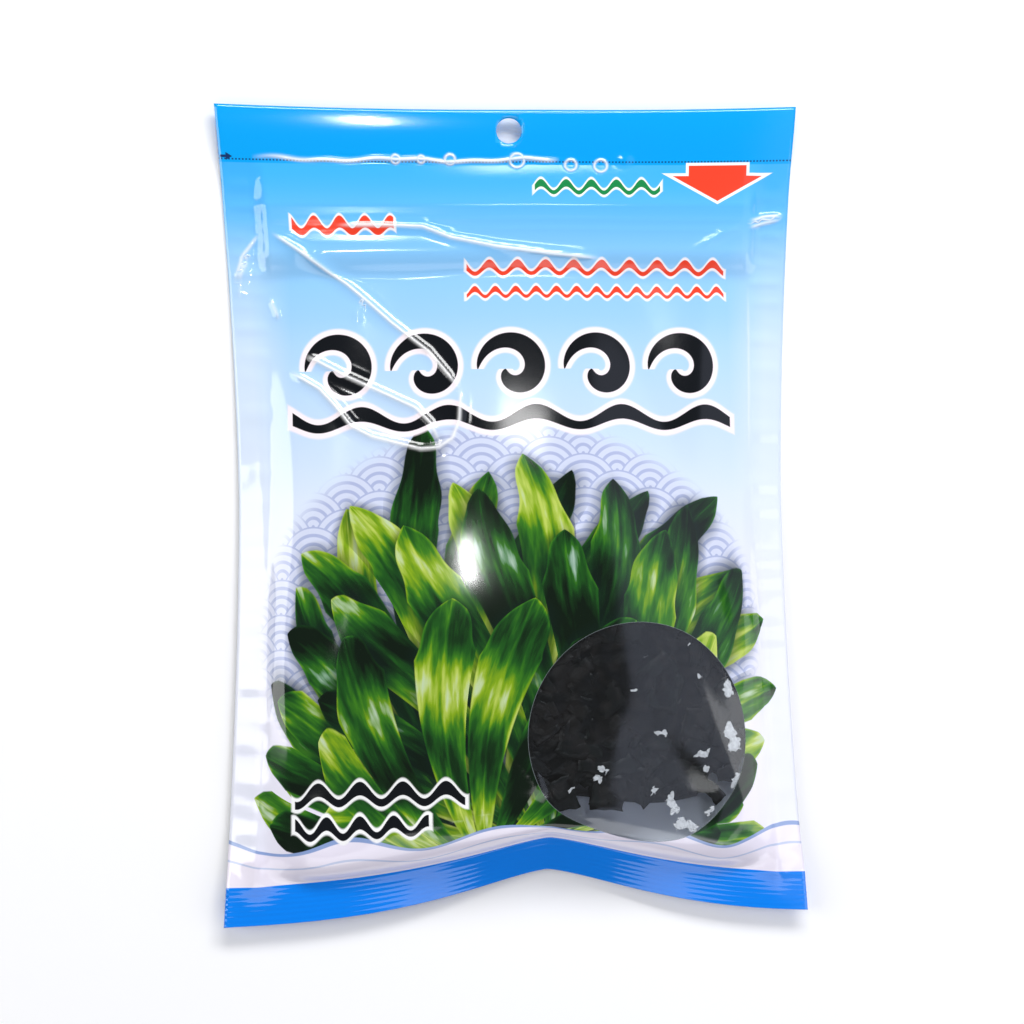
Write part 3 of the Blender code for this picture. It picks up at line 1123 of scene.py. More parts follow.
def frond_fan_group() -> bpy.types.NodeTree:
    """A node group that draws one fan of rippled seaweed fronds from a root.

    Returns:
        The group: it gives a frond mask, a soft shadow round the fronds and their colour.
    """
    tree = bpy.data.node_groups.new("frond_fan", "ShaderNodeTree")
    for name in ("Across", "Up", "Root Across", "Root Up", "Fronds", "Turn", "Reach", "Width", "Tone"):
        tree.interface.new_socket(name, in_out="INPUT", socket_type="NodeSocketFloat")
    for name, kind in (("Mask", "Float"), ("Shadow", "Float"), ("Colour", "Color")):
        tree.interface.new_socket(name, in_out="OUTPUT", socket_type=f"NodeSocket{kind}")
    given = tree.nodes.new("NodeGroupInput").outputs
    x = add(tree, Sum.MINUS, [given["Across"], given["Root Across"]])
    y = add(tree, Sum.MINUS, [given["Up"], given["Root Up"]])
    place = add(tree, JOIN, [x, y])
    out = add(tree, VectorSum.LENGTH, [place]).outputs["Value"]
    angle = add(tree, Sum.ANGLE, [x, y])
    sway_at = add(tree, Sum.TIMES_PLUS, [out, 1 / 34.0, given["Turn"]])
    sway = add(tree, Sum.SINE, [sway_at])
    swayed = add(tree, Sum.TIMES_PLUS, [sway, 0.13, angle])
    step = add(tree, Sum.OVER, [swayed, math.tau])
    sector = add(tree, Sum.TIMES_PLUS, [step, given["Fronds"], given["Turn"]])
    number = add(tree, Sum.FLOOR, [sector])
    share = add(tree, Sum.FRACT, [sector])
    key = add(tree, Sum.PLUS, [number, given["Tone"]])
    chance = add(tree, "ShaderNodeTexWhiteNoise", [key], noise_dimensions="1D")
    draws = add(tree, PART, [chance.outputs["Color"]]).outputs
    jitter = add(tree, Sum.TIMES_PLUS, [draws["X"], 0.30, -0.65])
    aside = add(tree, Sum.PLUS, [share, jitter])
    sector_angle = add(tree, Sum.OVER, [math.tau, given["Fronds"]])
    arc = add(tree, Sum.TIMES, [sector_angle, out])
    across = add(tree, Sum.TIMES, [aside, arc])
    length_share = add(tree, Sum.TIMES_PLUS, [draws["Y"], 0.20, 0.80])
    squeezed = add(tree, VectorSum.TIMES, [place, (1.62, 1.0, 0.0)])
    squared = add(tree, VectorSum.TIMES, [squeezed, squeezed])
    fourth = add(tree, VectorSum.LENGTH, [squared]).outputs["Value"]
    boxed = add(tree, Sum.ROOT, [fourth])
    oval = add(tree, Sum.OVER, [out, boxed])
    longest = add(tree, Sum.TIMES, [given["Reach"], oval])
    reach = add(tree, Sum.TIMES, [longest, length_share])
    along = add(tree, Sum.OVER, [out, reach], use_clamp=True)
    rest = add(tree, Sum.MINUS, [1.0, along])
    body = add(tree, Sum.TIMES, [along, rest])
    fuller = add(tree, Sum.POWER, [body, 0.55])
    ripple_at = add(tree, Sum.TIMES_PLUS, [out, 1 / 2.7, key])
    ripple = add(tree, Sum.SINE, [ripple_at])
    ruffle = add(tree, Sum.TIMES_PLUS, [ripple, 0.16, 1.9])
    half_full = add(tree, Sum.TIMES, [fuller, ruffle])
    half = add(tree, Sum.TIMES, [half_full, given["Width"]])
    room = add(tree, Sum.TIMES, [arc, 0.40])
    half = add(tree, Sum.LEAST, [half, room])
    away = add(tree, Sum.ABS, [across])
    depth = add(tree, Sum.MINUS, [half, away])
    past = add(tree, RANGE, {"Value": along, "From Min": 0.96, "From Max": 1.0})
    depth = add(tree, Sum.MINUS, [depth, past])
    mask = add(tree, RANGE, {"Value": depth, "From Min": -0.15, "From Max": 0.2})
    beyond = add(tree, Sum.MINUS, [out, reach])
    near_tip = add(tree, RANGE, {"Value": beyond, "From Min": 2.5, "From Max": -2.5})
    shadow = add(tree, RANGE, {"Value": depth, "From Min": -4.5, "From Max": 0.5})
    shadow = add(tree, Sum.TIMES, [shadow, near_tip])
    side = add(tree, Sum.OVER, [across, half])
    fold_at = add(tree, Sum.TIMES_PLUS, [side, 1.7, ripple_at])
    slow = add(tree, Sum.TIMES, [fold_at, 0.42])
    fold = add(tree, Sum.SINE, [slow])
    grain_place = add(tree, JOIN, [across, out, key])
    stretched = add(tree, VectorSum.TIMES, [grain_place, (0.30, 0.055, 1.0)])
    grain = add(tree, NOISE, {"Vector": stretched, "Scale": 1.0, "Detail": 3.0})
    tone = add(tree, Sum.TIMES_PLUS, [fold, 0.20, grain])
    own = add(tree, Sum.TIMES_PLUS, [draws["Z"], 0.42, -0.16])
    tone = add(tree, Sum.PLUS, [tone, own])
    rib_side = add(tree, Sum.ABS, [side])
    rib = add(tree, RANGE, {"Value": rib_side, "From Min": 0.10, "From Max": 0.02, "To Max": 0.10})
    tone = add(tree, Sum.PLUS, [tone, rib])
    edge = add(tree, RANGE, {"Value": depth, "From Min": 1.1, "From Max": 0.2, "To Max": 0.14})
    tone = add(tree, Sum.PLUS, [tone, edge])
    colour = add(tree, "ShaderNodeValToRGB", [tone])
    stops = (
        (0.22, "#07180B"), (0.40, "#113514"), (0.54, "#1E561B"), (0.68, "#3C7C1C"),
        (0.82, "#84A81A"), (0.96, "#BCCF5E"),
    )
    ramp = colour.color_ramp.elements
    while len(ramp) < len(stops):
        ramp.new(1.0)
    for element, (position, hex_colour) in zip(ramp, stops):
        element.position = position
        element.color = linear(hex_colour)
    wet = add(tree, Sum.TIMES_PLUS, [fold, 0.30, grain])
    shine = add(tree, RANGE, {"Value": wet, "From Min": 0.84, "From Max": 1.0, "To Max": 0.55})
    wet_colour = add(tree, MIX, {
        0: shine, 6: colour, 7: linear("#C9DDE6"),
    }, data_type="RGBA").outputs[2]
    add(tree, "NodeGroupOutput", [mask, shadow, wet_colour])
    return tree


@dataclass(frozen=True)
class PrintedFilm:
    """Reverse-printed clear polypropylene film, laminated to polyethylene.

    The ink lies under a glossy clear layer, so each colour is even and the gloss over it is sharp.
    Round the filling the film is taut, with a faint grain that frosts the edges of its glare.
    """

    header: str = "#00A9FA"
    band: str = "#0085F6"
    side_light: str = "#EAF2FE"
    navy: str = "#12336B"
    red: str = "#F4452B"
    black: str = "#0C1016"
    halo: str = "#FFF3F8"
    leaf_green: str = "#1C8A4A"
    window_across: float = 36.4
    window_up: float = 55.6
    window_radius: float = 34.4
    roughness: float = 0.095
    window_shine: float = 0.045
    grain_pitch: float = 0.40
    rings: tuple[tuple[float, float, float], ...] = (
        (-35.5, 234.4, 1.3), (-27.5, 234.4, 1.1), (-18.5, 234.4, 1.6),
        (2.5, 234.0, 2.2), (19.5, 232.6, 1.8), (29.0, 232.4, 2.0),
    )
    sky: tuple[tuple[float, str], ...] = (
        (0.0, "#EFE9F8"), (98.0, "#F0ECFB"), (129.0, "#DCEAFC"), (144.0, "#CDE1FC"),
        (160.0, "#C0DDFB"), (175.0, "#B0D8FC"), (185.0, "#9FD0FB"), (203.0, "#8DCBF9"),
        (214.0, "#6CC0FD"), (222.0, "#56B9FD"), (230.0, "#3DB6FD"),
    )

    def build(self) -> bpy.types.Material:
        """Makes the film's material.

        Returns:
            The material, which reads the UV map flat_film.
        """
        material, tree = new_material("printed_polypropylene_film")
        art = Artwork(tree)
        self.lay_ground(art)
        self.lay_picture(art)
        self.lay_ornaments(art)
        self.lay_header(art)
        window = art.disc(self.window_across, self.window_up, self.window_radius)
        rim = art.inside_both(window, InkShape(
            add(tree, Sum.MINUS, [0.35, window.depth]).outputs[0]
        ))
        art.lay("#C7D2D8", rim.mask(tree))
        lip, crease = self.weld_lip(tree, art), self.crease_line(tree)
        # painted highlight: white laid on the weld bead and its blister rings stands in for their glints
        art.lay("#FFFFFF", add(tree, Sum.TIMES, [lip, 0.8]))
        # painted highlight: white laid along the sharp crease crests stands in for their glints
        art.lay("#FFFFFF", add(tree, Sum.TIMES, [crease, 0.75]))
        bump = self.relief(tree, art, lip, crease)
        printed = add(tree, PRINCIPLED, {
            "Base Color": art.ink, "Roughness": self.roughness, "IOR": 1.5,
            "Specular IOR Level": 0.75, "Normal": bump,
        })
        clear = self.clear_film(tree, bump)
        whole = add(tree, "ShaderNodeMixShader", [window.mask(tree), printed, clear])
        add(tree, OUTPUT, {"Surface": whole})
        return material

    def lay_ground(self, art: Artwork) -> None:
        """Prints the sky: blue at the top, nearly white from the middle down.

        Args:
            art: the print.
        """
        tree = art.tree
        share = add(tree, Sum.OVER, [art.up, 250.0])
        ramp = add(tree, "ShaderNodeValToRGB", [share])
        ramp.color_ramp.interpolation = "B_SPLINE"
        stops = ramp.color_ramp.elements
        while len(stops) < len(self.sky):
            stops.new(1.0)
        for stop, (place, colour) in zip(stops, self.sky):
            stop.position = place / 250.0
            stop.color = linear(colour)
        art.ink = ramp.outputs[0]
        reach = add(tree, Sum.ABS, [art.across])
        margin = add(tree, RANGE, {"Value": reach, "From Min": 70.0, "From Max": 84.0, "To Max": 0.55})
        low = add(tree, RANGE, {"Value": art.up, "From Min": 215.0, "From Max": 175.0})
        pale = add(tree, Sum.TIMES, [margin, low])
        art.lay(self.side_light, pale)

    def lay_picture(self, art: Artwork) -> None:
        """Prints pale overlapping waves, and four fans of seaweed fronds in front of them.

        Args:
            art: the print, with its ground laid.
        """
        tree = art.tree
        field_shape = self.oval(art, -2.0, 88.0, 82.0, 66.0)
        waves = self.scale_waves(art, 21.0)
        art.lay("#D4DAF0", add(tree, Sum.TIMES, [field_shape, 0.9]))
        art.lay("#AFB9DC", add(tree, Sum.TIMES, [field_shape, waves]))
        group = frond_fan_group()
        for root_across, root_up, fronds, turn, reach, width, tone in (
            (0.0, 16.0, 33.0, 0.20, 141.0, 11.5, 11.0),
            (-4.0, 17.0, 29.0, 2.45, 134.0, 12.5, 37.0),
            (7.0, 14.0, 25.0, 4.60, 120.0, 13.0, 53.0),
            (-11.0, 10.0, 19.0, 1.15, 98.0, 14.5, 71.0),
        ):
            fan = tree.nodes.new("ShaderNodeGroup")
            fan.node_tree = group
            tree.links.new(art.across, fan.inputs["Across"])
            tree.links.new(art.up, fan.inputs["Up"])
            values = {
                "Root Across": root_across, "Root Up": root_up, "Fronds": fronds, "Turn": turn,
                "Reach": reach, "Width": width, "Tone": tone,
            }
            for name, value in values.items():
                fan.inputs[name].default_value = value
            shade = add(tree, Sum.TIMES, [fan.outputs["Shadow"], 0.62])
            shade = add(tree, Sum.TIMES, [shade, field_shape])
            art.lay("#0A1F18", shade)
            art.lay(fan.outputs["Colour"], fan.outputs["Mask"])
        self.lay_foam(art)

    def lay_foam(self, art: Artwork) -> None:
        """Prints the pale swell that the fronds rise from.

        Args:
            art: the print, with its ground laid.
        """
        tree = art.tree
        turn = add(tree, Sum.TIMES_PLUS, [art.across, math.tau / 46.0, 2.4])
        swing = add(tree, Sum.SINE, [turn])
        for level, rise, colour in (
            (25.0, 2.6, "#8FA6D6"), (23.9, 2.4, "#F1EBFA"),
            (19.5, 1.8, "#C3CDEA"), (18.9, 1.7, "#F3EDFA"),
        ):
            top = add(tree, Sum.TIMES_PLUS, [swing, rise, level])
            below = InkShape(add(tree, Sum.MINUS, [top, art.up]).outputs[0])
            art.lay(colour, below.mask(tree))

    def oval(
        self, art: Artwork, across: float, up: float, wide: float, high: float
    ) -> bpy.types.Node:
        """A soft-edged oval mask.

        Args:
            art: the print.
            across, up: its middle.
            wide, high: its half sizes.

        Returns:
            A node whose value is 1 inside.
        """
        tree = art.tree
        place = add(tree, JOIN, [art.across, art.up])
        shift = add(tree, VectorSum.MINUS, [place, (across, up, 0.0)])
        scaled = add(tree, VectorSum.OVER, [shift, (wide, high, 1.0)])
        out = add(tree, VectorSum.LENGTH, [scaled])
        return add(tree, RANGE, {
            "Value": out.outputs["Value"], "From Min": 1.0, "From Max": 0.90,
        }, interpolation_type="SMOOTHSTEP")

    def scale_waves(self, art: Artwork, pitch: float) -> bpy.types.Node:
        """The old pattern of overlapping wave circles, as lines.

        Args:
            art: the print.
            pitch: the width of one wave.

        Returns:
            A node whose value is 1 on the lines.
        """
        tree = art.tree
        level = add(tree, Sum.TIMES, [art.up, 4 / pitch])
        number = add(tree, Sum.FLOOR, [level])
        rise = add(tree, Sum.MINUS, [level, number])
        out = 0.0
        for step in (-1.0, 0.0, 1.0):
            y = add(tree, Sum.TIMES_PLUS, [rise, 0.25, step * 0.25])
            side = add(tree, Sum.TIMES_PLUS, [number, 0.5, step * 0.5])
            x = add(tree, Sum.TIMES_PLUS, [art.across, 1 / pitch, side])
            x = add(tree, Sum.FRACT, [x])
            x = add(tree, Sum.MINUS, [x, 0.5])
            wide = add(tree, Sum.TIMES, [x, x])
            square = add(tree, Sum.TIMES_PLUS, [y, y, wide])
            here = add(tree, Sum.ROOT, [square])
            covers = add(tree, Sum.BELOW, [here, 0.5])
            out = add(tree, MIX, [covers, out, here])
        rings = add(tree, Sum.TIMES_PLUS, [out, math.tau * 8, math.pi / 2])
        swing = add(tree, Sum.SINE, [rings])
        return add(tree, RANGE, {"Value": swing, "From Min": 0.1, "From Max": 0.6})

    def lay_ornaments(self, art: Artwork) -> None:
        """Prints brushed wave ornaments where such a pouch carries its headings.

        Args:
            art: the print, with its ground laid.
        """
        tree = art.tree
        crest = art.curls(-68.0, 68.0, 168.0, 27.2)
        swell = art.wave_rule(-70.0, 70.0, 152.5, 2.2, 27.2, 5.0)
        title = art.inside_any(crest, swell)
        art.lay(self.halo, title.mask(tree, 1.7, 0.5))
        art.lay(self.black, title.mask(tree))
        reds = art.inside_any(
            art.wave_rule(-14.0, 69.0, 199.5, 1.5, 9.0, 2.6),
            art.wave_rule(-14.0, 69.0, 192.0, 1.2, 6.5, 2.1),
            art.wave_rule(-69.0, -37.0, 212.5, 1.6, 8.0, 4.2),
        )
        art.lay("#FFF8FA", reds.mask(tree, 0.8, 0.3))
        art.lay(self.red, reds.mask(tree))
        green = art.wave_rule(8.0, 48.0, 225.0, 1.6, 8.0, 2.8)
        art.lay("#FFFFFF", green.mask(tree, 0.8, 0.3))
        art.lay(self.leaf_green, green.mask(tree))
        foot = art.inside_any(
            art.wave_rule(-69.0, -17.0, 39.0, 2.2, 13.0, 4.6),
            art.wave_rule(-69.0, -28.0, 29.5, 1.8, 10.3, 3.8),
        )
        art.lay("#FFFFFF", foot.mask(tree, 1.1, 0.4))
        art.lay(self.black, foot.mask(tree))

    def lay_header(self, art: Artwork) -> None:
        """Prints the header, the cutting line, both arrows and the bottom band.

        Args:
            art: the print, with its ground laid.
        """
        tree = art.tree
        art.lay(self.header, art.between(art.up, 232.6, 260.0).mask(tree))
        art.lay(self.band, art.between(art.up, -5.0, 12.0).mask(tree))
        turn = add(tree, Sum.TIMES, [art.across, math.tau / 1.05])
        swing = add(tree, Sum.SINE, [turn])
        dots = InkShape(add(tree, Sum.TIMES_PLUS, [swing, 0.25, 0.0]).outputs[0])
        cut = art.inside_both(dots, art.between(art.up, 233.4, 233.85))
        art.lay(self.navy, cut.mask(tree))
        art.lay(self.navy, self.arrow_right(art).mask(tree))
        arrow = self.arrow_down(art)
        art.lay("#FFFFFF", arrow.mask(tree, 0.9))
        art.lay(self.red, arrow.mask(tree))

    def arrow_right(self, art: Artwork) -> InkShape:
        """The small arrow at the left end of the cutting line.

        Args:
            art: the print.

        Returns:
            The arrow.
        """
        tree = art.tree
        off = add(tree, Sum.MINUS, [art.up, 234.4])
        away = add(tree, Sum.ABS, [off])
        tip = add(tree, Sum.MINUS, [-85.9, art.across])
        slope = add(tree, Sum.TIMES, [tip, 0.62])
        side = add(tree, Sum.MINUS, [slope, away]).outputs[0]
        head = art.inside_both(InkShape(side), art.between(art.across, -87.8, -85.0))
        return art.inside_any(head, art.box(-89.6, -87.0, 234.0, 234.8))

    def arrow_down(self, art: Artwork) -> InkShape:
        """The broad red arrow that points at the zip.

        Args:
            art: the print.

        Returns:
            The arrow.
        """
        tree = art.tree
        off = add(tree, Sum.MINUS, [art.across, 66.4])
        away = add(tree, Sum.ABS, [off])
        above = add(tree, Sum.MINUS, [art.up, 220.7])
        slope = add(tree, Sum.TIMES, [above, 14.5 / 8.3])
        side = add(tree, Sum.MINUS, [slope, away])
        even = add(tree, Sum.TIMES, [side, 0.5]).outputs[0]
        head = art.inside_both(InkShape(even), art.between(art.up, 219.0, 229.0))
        return art.inside_any(head, art.box(57.1, 75.7, 228.6, 232.4))

    def relief(
        self, tree: bpy.types.NodeTree, art: Artwork, lip: bpy.types.Node, crease: bpy.types.Node
    ) -> bpy.types.Node:
        """The film's fine relief: its grain, the brushed header, the weld's lip and the creases.

        Args:
            tree: the material's node tree.
            art: the print, for its millimetre axes.
            lip: the weld's lip.
            crease: the creases.

        Returns:
            The bump; its heights are in millimetres.
        """
        place = add(tree, JOIN, [art.across, art.up])
        noise = add(tree, NOISE, {
            "Vector": place, "Scale": 1 / self.grain_pitch, "Detail": 1.0,
        })
        height = add(tree, Sum.TIMES, [noise, 0.0022])
        brushed = add(tree, VectorSum.TIMES, [place, (0.22, 1.7, 1.0)])
        brush = add(tree, NOISE, {"Vector": brushed, "Scale": 1.0, "Detail": 3.0})
        in_header = add(tree, RANGE, {"Value": art.up, "From Min": 235.0, "From Max": 237.0, "To Max": 0.007})
        height = add(tree, Sum.TIMES_PLUS, [brush, in_header, height])
        height = add(tree, Sum.TIMES_PLUS, [lip, 0.28, height])
        height = add(tree, Sum.TIMES_PLUS, [crease, 0.22, height])
        return add(tree, BUMP, {"Strength": 1.0, "Distance": MM, "Height": height})

    def crease_line(self, tree: bpy.types.NodeTree) -> bpy.types.Node:
        """The creases' crests, for their bump and for a painted white highlight along them; 1 on the line.

        Args:
            tree: the material's node tree.

        Returns:
            A node that is 1 on a sharp crest.
        """
        off = add(tree, "ShaderNodeAttribute", attribute_name="crease_off").outputs["Fac"]
        near = add(tree, "ShaderNodeAttribute", attribute_name="crease_near").outputs["Fac"]
        return add(tree, Sum.TIMES, [self.bead(tree, off, 0.55), near])

    def weld_lip(self, tree: bpy.types.NodeTree, art: Artwork) -> bpy.types.Node:
        """The bead of film squeezed out along the header's weld, with rings where air was caught.

        Args:
            tree: the material's node tree.
            art: the print, for its millimetre axes.

        Returns:
            A node that is 1 on the bead.
        """
        slow = add(tree, Sum.TIMES_PLUS, [art.across, 0.15, 0.6])
        slow = add(tree, Sum.SINE, [slow])
        quick = add(tree, Sum.TIMES, [art.across, 0.41])
        quick = add(tree, Sum.SINE, [quick])
        wander = add(tree, Sum.TIMES_PLUS, [slow, 0.45, 234.2])
        wander = add(tree, Sum.TIMES_PLUS, [quick, 0.25, wander])
        off = add(tree, Sum.MINUS, [art.up, wander])
        lip = self.bead(tree, off, 0.60)
        left = add(tree, RANGE, {"Value": art.across, "From Min": -80.0, "From Max": -70.0})
        right = add(tree, RANGE, {"Value": art.across, "From Min": 16.0, "From Max": 12.0})
        lip = add(tree, Sum.TIMES, [lip, left])
        lip = add(tree, Sum.TIMES, [lip, right])
        place = add(tree, JOIN, [art.across, art.up])
        for across, up, radius in self.rings:
            out = add(tree, VectorSum.AWAY, [place, (across, up, 0.0)]).outputs["Value"]
            off = add(tree, Sum.MINUS, [out, radius])
            lip = add(tree, Sum.MOST, [lip, self.bead(tree, off, 0.42)])
        return lip

    @staticmethod
    def bead(tree: bpy.types.NodeTree, off: bpy.types.Node, half_width: float) -> bpy.types.Node:
        """A rounded ridge where a distance is zero.

        Args:
            tree: the material's node tree.
            off: the distance, in millimetres.
            half_width: the ridge's half width.

        Returns:
            A node that is 1 on the ridge.
        """
        share = add(tree, Sum.OVER, [off, half_width])
        square = add(tree, Sum.TIMES, [share, share])
        fall = add(tree, Sum.TIMES, [square, -1.0])
        return add(tree, Sum.EXP, [fall])

    def clear_film(self, tree: bpy.types.NodeTree, bump: bpy.types.Node) -> bpy.types.Node:
        """The unprinted window: clear, with the film's gloss.

        Args:
            tree: the material's node tree.
            bump: the film's relief.

        Returns:
            The shader.
        """
        through = add(tree, "ShaderNodeBsdfTransparent", {"Color": linear("#F4F6F8")})
        gloss = add(tree, "ShaderNodeBsdfGlossy", {
            "Color": (1.0, 1.0, 1.0, 1.0), "Roughness": self.roughness, "Normal": bump,
        })
        return add(tree, "ShaderNodeMixShader", {0: self.window_shine, 1: through, 2: gloss})


@dataclass(frozen=True)
class PlainFilm:
    """The back film: the same laminate in opaque white, with the front's bands and a blank label."""

    white: str = "#EDF1F7"
    header: str = "#00A9FA"
    band: str = "#0084F4"
    line: str = "#3C6FB4"
    roughness: float = 0.18

    def build(self) -> bpy.types.Material:
        """Makes the film's material.

        Returns:
            The material, which reads the UV map flat_film.
        """
        material, tree = new_material("white_laminate_film")
        art = Artwork(tree)
        rows = add(tree, NOISE, {"Scale": 3.0, "Detail": 2.0})
        place = add(tree, JOIN, [art.across, art.up])
        scaled = add(tree, VectorSum.TIMES, [place, (0.02, 0.02, 0.0)])
        tree.links.new(scaled.outputs[0], rows.inputs["Vector"])
        art.ink = add(tree, MIX, {
            0: rows, 6: linear(self.white), 7: linear("#E2E8F1"),
        }, data_type="RGBA").outputs[2]
        label = art.box(-66.0, 66.0, 56.0, 176.0)
        inner = art.box(-65.3, 65.3, 56.7, 175.3)
        art.lay(self.line, label.mask(tree))
        art.lay("#F6F8FB", inner.mask(tree))
        rule = add(tree, Sum.WRAP, [art.up, 12.0])
        lines = art.inside_both(art.between(rule, 0.0, 0.35), art.box(-60.0, 60.0, 64.0, 170.0))
        art.lay("#8FAFD8", lines.mask(tree))
        art.lay(self.header, art.between(art.up, 232.6, 260.0).mask(tree))
        art.lay(self.band, art.between(art.up, -5.0, 12.0).mask(tree))
        noise = add(tree, NOISE, {"Vector": place, "Scale": 2.2, "Detail": 1.0})
        bump = add(tree, BUMP, {"Strength": 1.0, "Distance": 0.000005, "Height": noise})
        shade = add(tree, PRINCIPLED, {
            "Base Color": art.ink, "Roughness": self.roughness, "IOR": 1.5, "Normal": bump,
        })
        add(tree, OUTPUT, {"Surface": shade})
        return material


@dataclass(frozen=True)
class MilkyZip:
    """Extruded low-density polyethylene: milky, waxy and half clear, with faint draw lines."""

    tint: str = "#E6EEF4"
    draw_pitch: float = 0.0012

    def build(self) -> bpy.types.Material:
        """Makes the zip's material.

        Returns:
            The material.
        """
        material, tree = new_material("extruded_polyethylene")
        place = add(tree, "ShaderNodeTexCoord").outputs["Object"]
        drawn = add(tree, VectorSum.TIMES, [place, (20.0, 1 / self.draw_pitch, 1 / self.draw_pitch)])
        lines = add(tree, NOISE, {"Vector": drawn, "Scale": 1.0, "Detail": 2.0})
        bump = add(tree, BUMP, {"Strength": 1.0, "Distance": 0.00003, "Height": lines})
        wax = add(tree, RANGE, {"Value": lines, "To Min": 0.32, "To Max": 0.48})
        shade = add(tree, PRINCIPLED, {
            "Base Color": linear(self.tint), "Roughness": wax, "IOR": 1.51,
            "Subsurface Weight": 0.4, "Subsurface Scale": 0.002, "Normal": bump,
        })
        add(tree, OUTPUT, {"Surface": shade})
        return material


@dataclass(frozen=True)
class DriedWakame:
    """Dried seaweed: nearly black, faintly green or brown, with a leathery shine on its folds."""

    dark: str = "#07090A"
    green: str = "#111615"
    brown: str = "#1C1A19"
    wrinkle_pitch: float = 0.0011
    fold_pitch: float = 0.009

    def build(self) -> bpy.types.Material:
        """Makes the flakes' material.

        Returns:
            The material, which reads each flake's own attribute.
        """
        material, tree = new_material("dried_seaweed")
        place = add(tree, "ShaderNodeTexCoord").outputs["Object"]
        own = add(tree, "ShaderNodeAttribute", attribute_name="own").outputs["Vector"]
        parts = add(tree, PART, [own]).outputs
        wrinkles = add(tree, NOISE, {
            "Vector": place, "Scale": 1 / self.wrinkle_pitch, "Detail": 3.0, "Roughness": 0.6,
        })
        patches = add(tree, NOISE, {
            "Vector": place, "Scale": 1 / self.fold_pitch, "Detail": 1.5, "Distortion": 1.6,
        })
        base = add(tree, MIX, {
            0: parts["X"], 6: linear(self.dark), 7: linear(self.green),
        }, data_type="RGBA").outputs[2]
        warm = add(tree, RANGE, {"Value": patches, "From Min": 0.46, "From Max": 0.62})
        base = add(tree, MIX, {0: warm, 6: base, 7: linear(self.brown)}, data_type="RGBA").outputs[2]
        rough = add(tree, RANGE, {"Value": parts["Y"], "To Min": 0.28, "To Max": 0.55})
        bump = add(tree, BUMP, {"Strength": 1.0, "Distance": 0.00012, "Height": wrinkles})
        shade = add(tree, PRINCIPLED, {
            "Base Color": base, "Roughness": rough, "IOR": 1.45, "Specular IOR Level": 0.22, "Normal": bump,
        })
        add(tree, OUTPUT, {"Surface": shade})
        return material


@dataclass(frozen=True)
class PaleJaggedBit:
    """Pale jagged bits that lie against the window: chalky light grey, mottled."""

    pale: str = "#F4F3F2"
    shade: str = "#DAD9D8"
    grain: float = 0.0009

    def build(self) -> bpy.types.Material:
        """Makes the pale bits' material.

        Returns:
            The material.
        """
        material, tree = new_material("pale_grey_bits")
        place = add(tree, "ShaderNodeTexCoord").outputs["Object"]
        noise = add(tree, NOISE, {"Vector": place, "Scale": 1 / self.grain, "Detail": 2.0})
        mottle = add(tree, RANGE, {"Value": noise, "From Min": 0.40, "From Max": 0.65})
        colour = add(tree, MIX, {
            0: mottle, 6: linear(self.shade), 7: linear(self.pale),
        }, data_type="RGBA").outputs[2]
        bump = add(tree, BUMP, {"Strength": 1.0, "Distance": 0.0001, "Height": noise})
        shade = add(tree, PRINCIPLED, {
            "Base Color": colour, "Roughness": 0.8, "Normal": bump,
        })
        add(tree, OUTPUT, {"Surface": shade})
        return material


@dataclass
class PlainZip:
    """The two zip strips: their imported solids, in milky polyethylene."""

    nodes: tuple[str, str] = ("zip_ribbed_strip", "zip_grooved_strip")

    def build(self) -> None:
        """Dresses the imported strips."""
        material = MilkyZip().build()
        for name in self.nodes:
            strip = bpy.data.objects[name]
            for slot in strip.material_slots:
                slot.material = material
            log.info("%s: dressed", name)


@dataclass(frozen=True)
class SoftLight:
    """A rectangular lamp that faces the pouch."""

    name: str
    place: tuple[float, float, float]
    size: tuple[float, float]
    radiance: float
    aim: tuple[float, float, float] = (0.0, 0.0, 0.01)
    colour: tuple[float, float, float] = (1.0, 1.0, 1.0)

    def build(self) -> None:
        """Hangs the lamp."""
        light = bpy.data.lights.new(self.name, "AREA")
        light.shape = "RECTANGLE"
        light.size, light.size_y = self.size
        light.color = self.colour
        light.energy = self.radiance * math.pi * self.size[0] * self.size[1]
        lamp = bpy.data.objects.new(self.name, light)
        lamp.location = self.place
        direction = Vector(self.aim) - Vector(self.place)
        lamp.rotation_euler = direction.to_track_quat("-Z", "Y").to_euler()
        lamp.visible_camera = False
        bpy.context.scene.collection.objects.link(lamp)


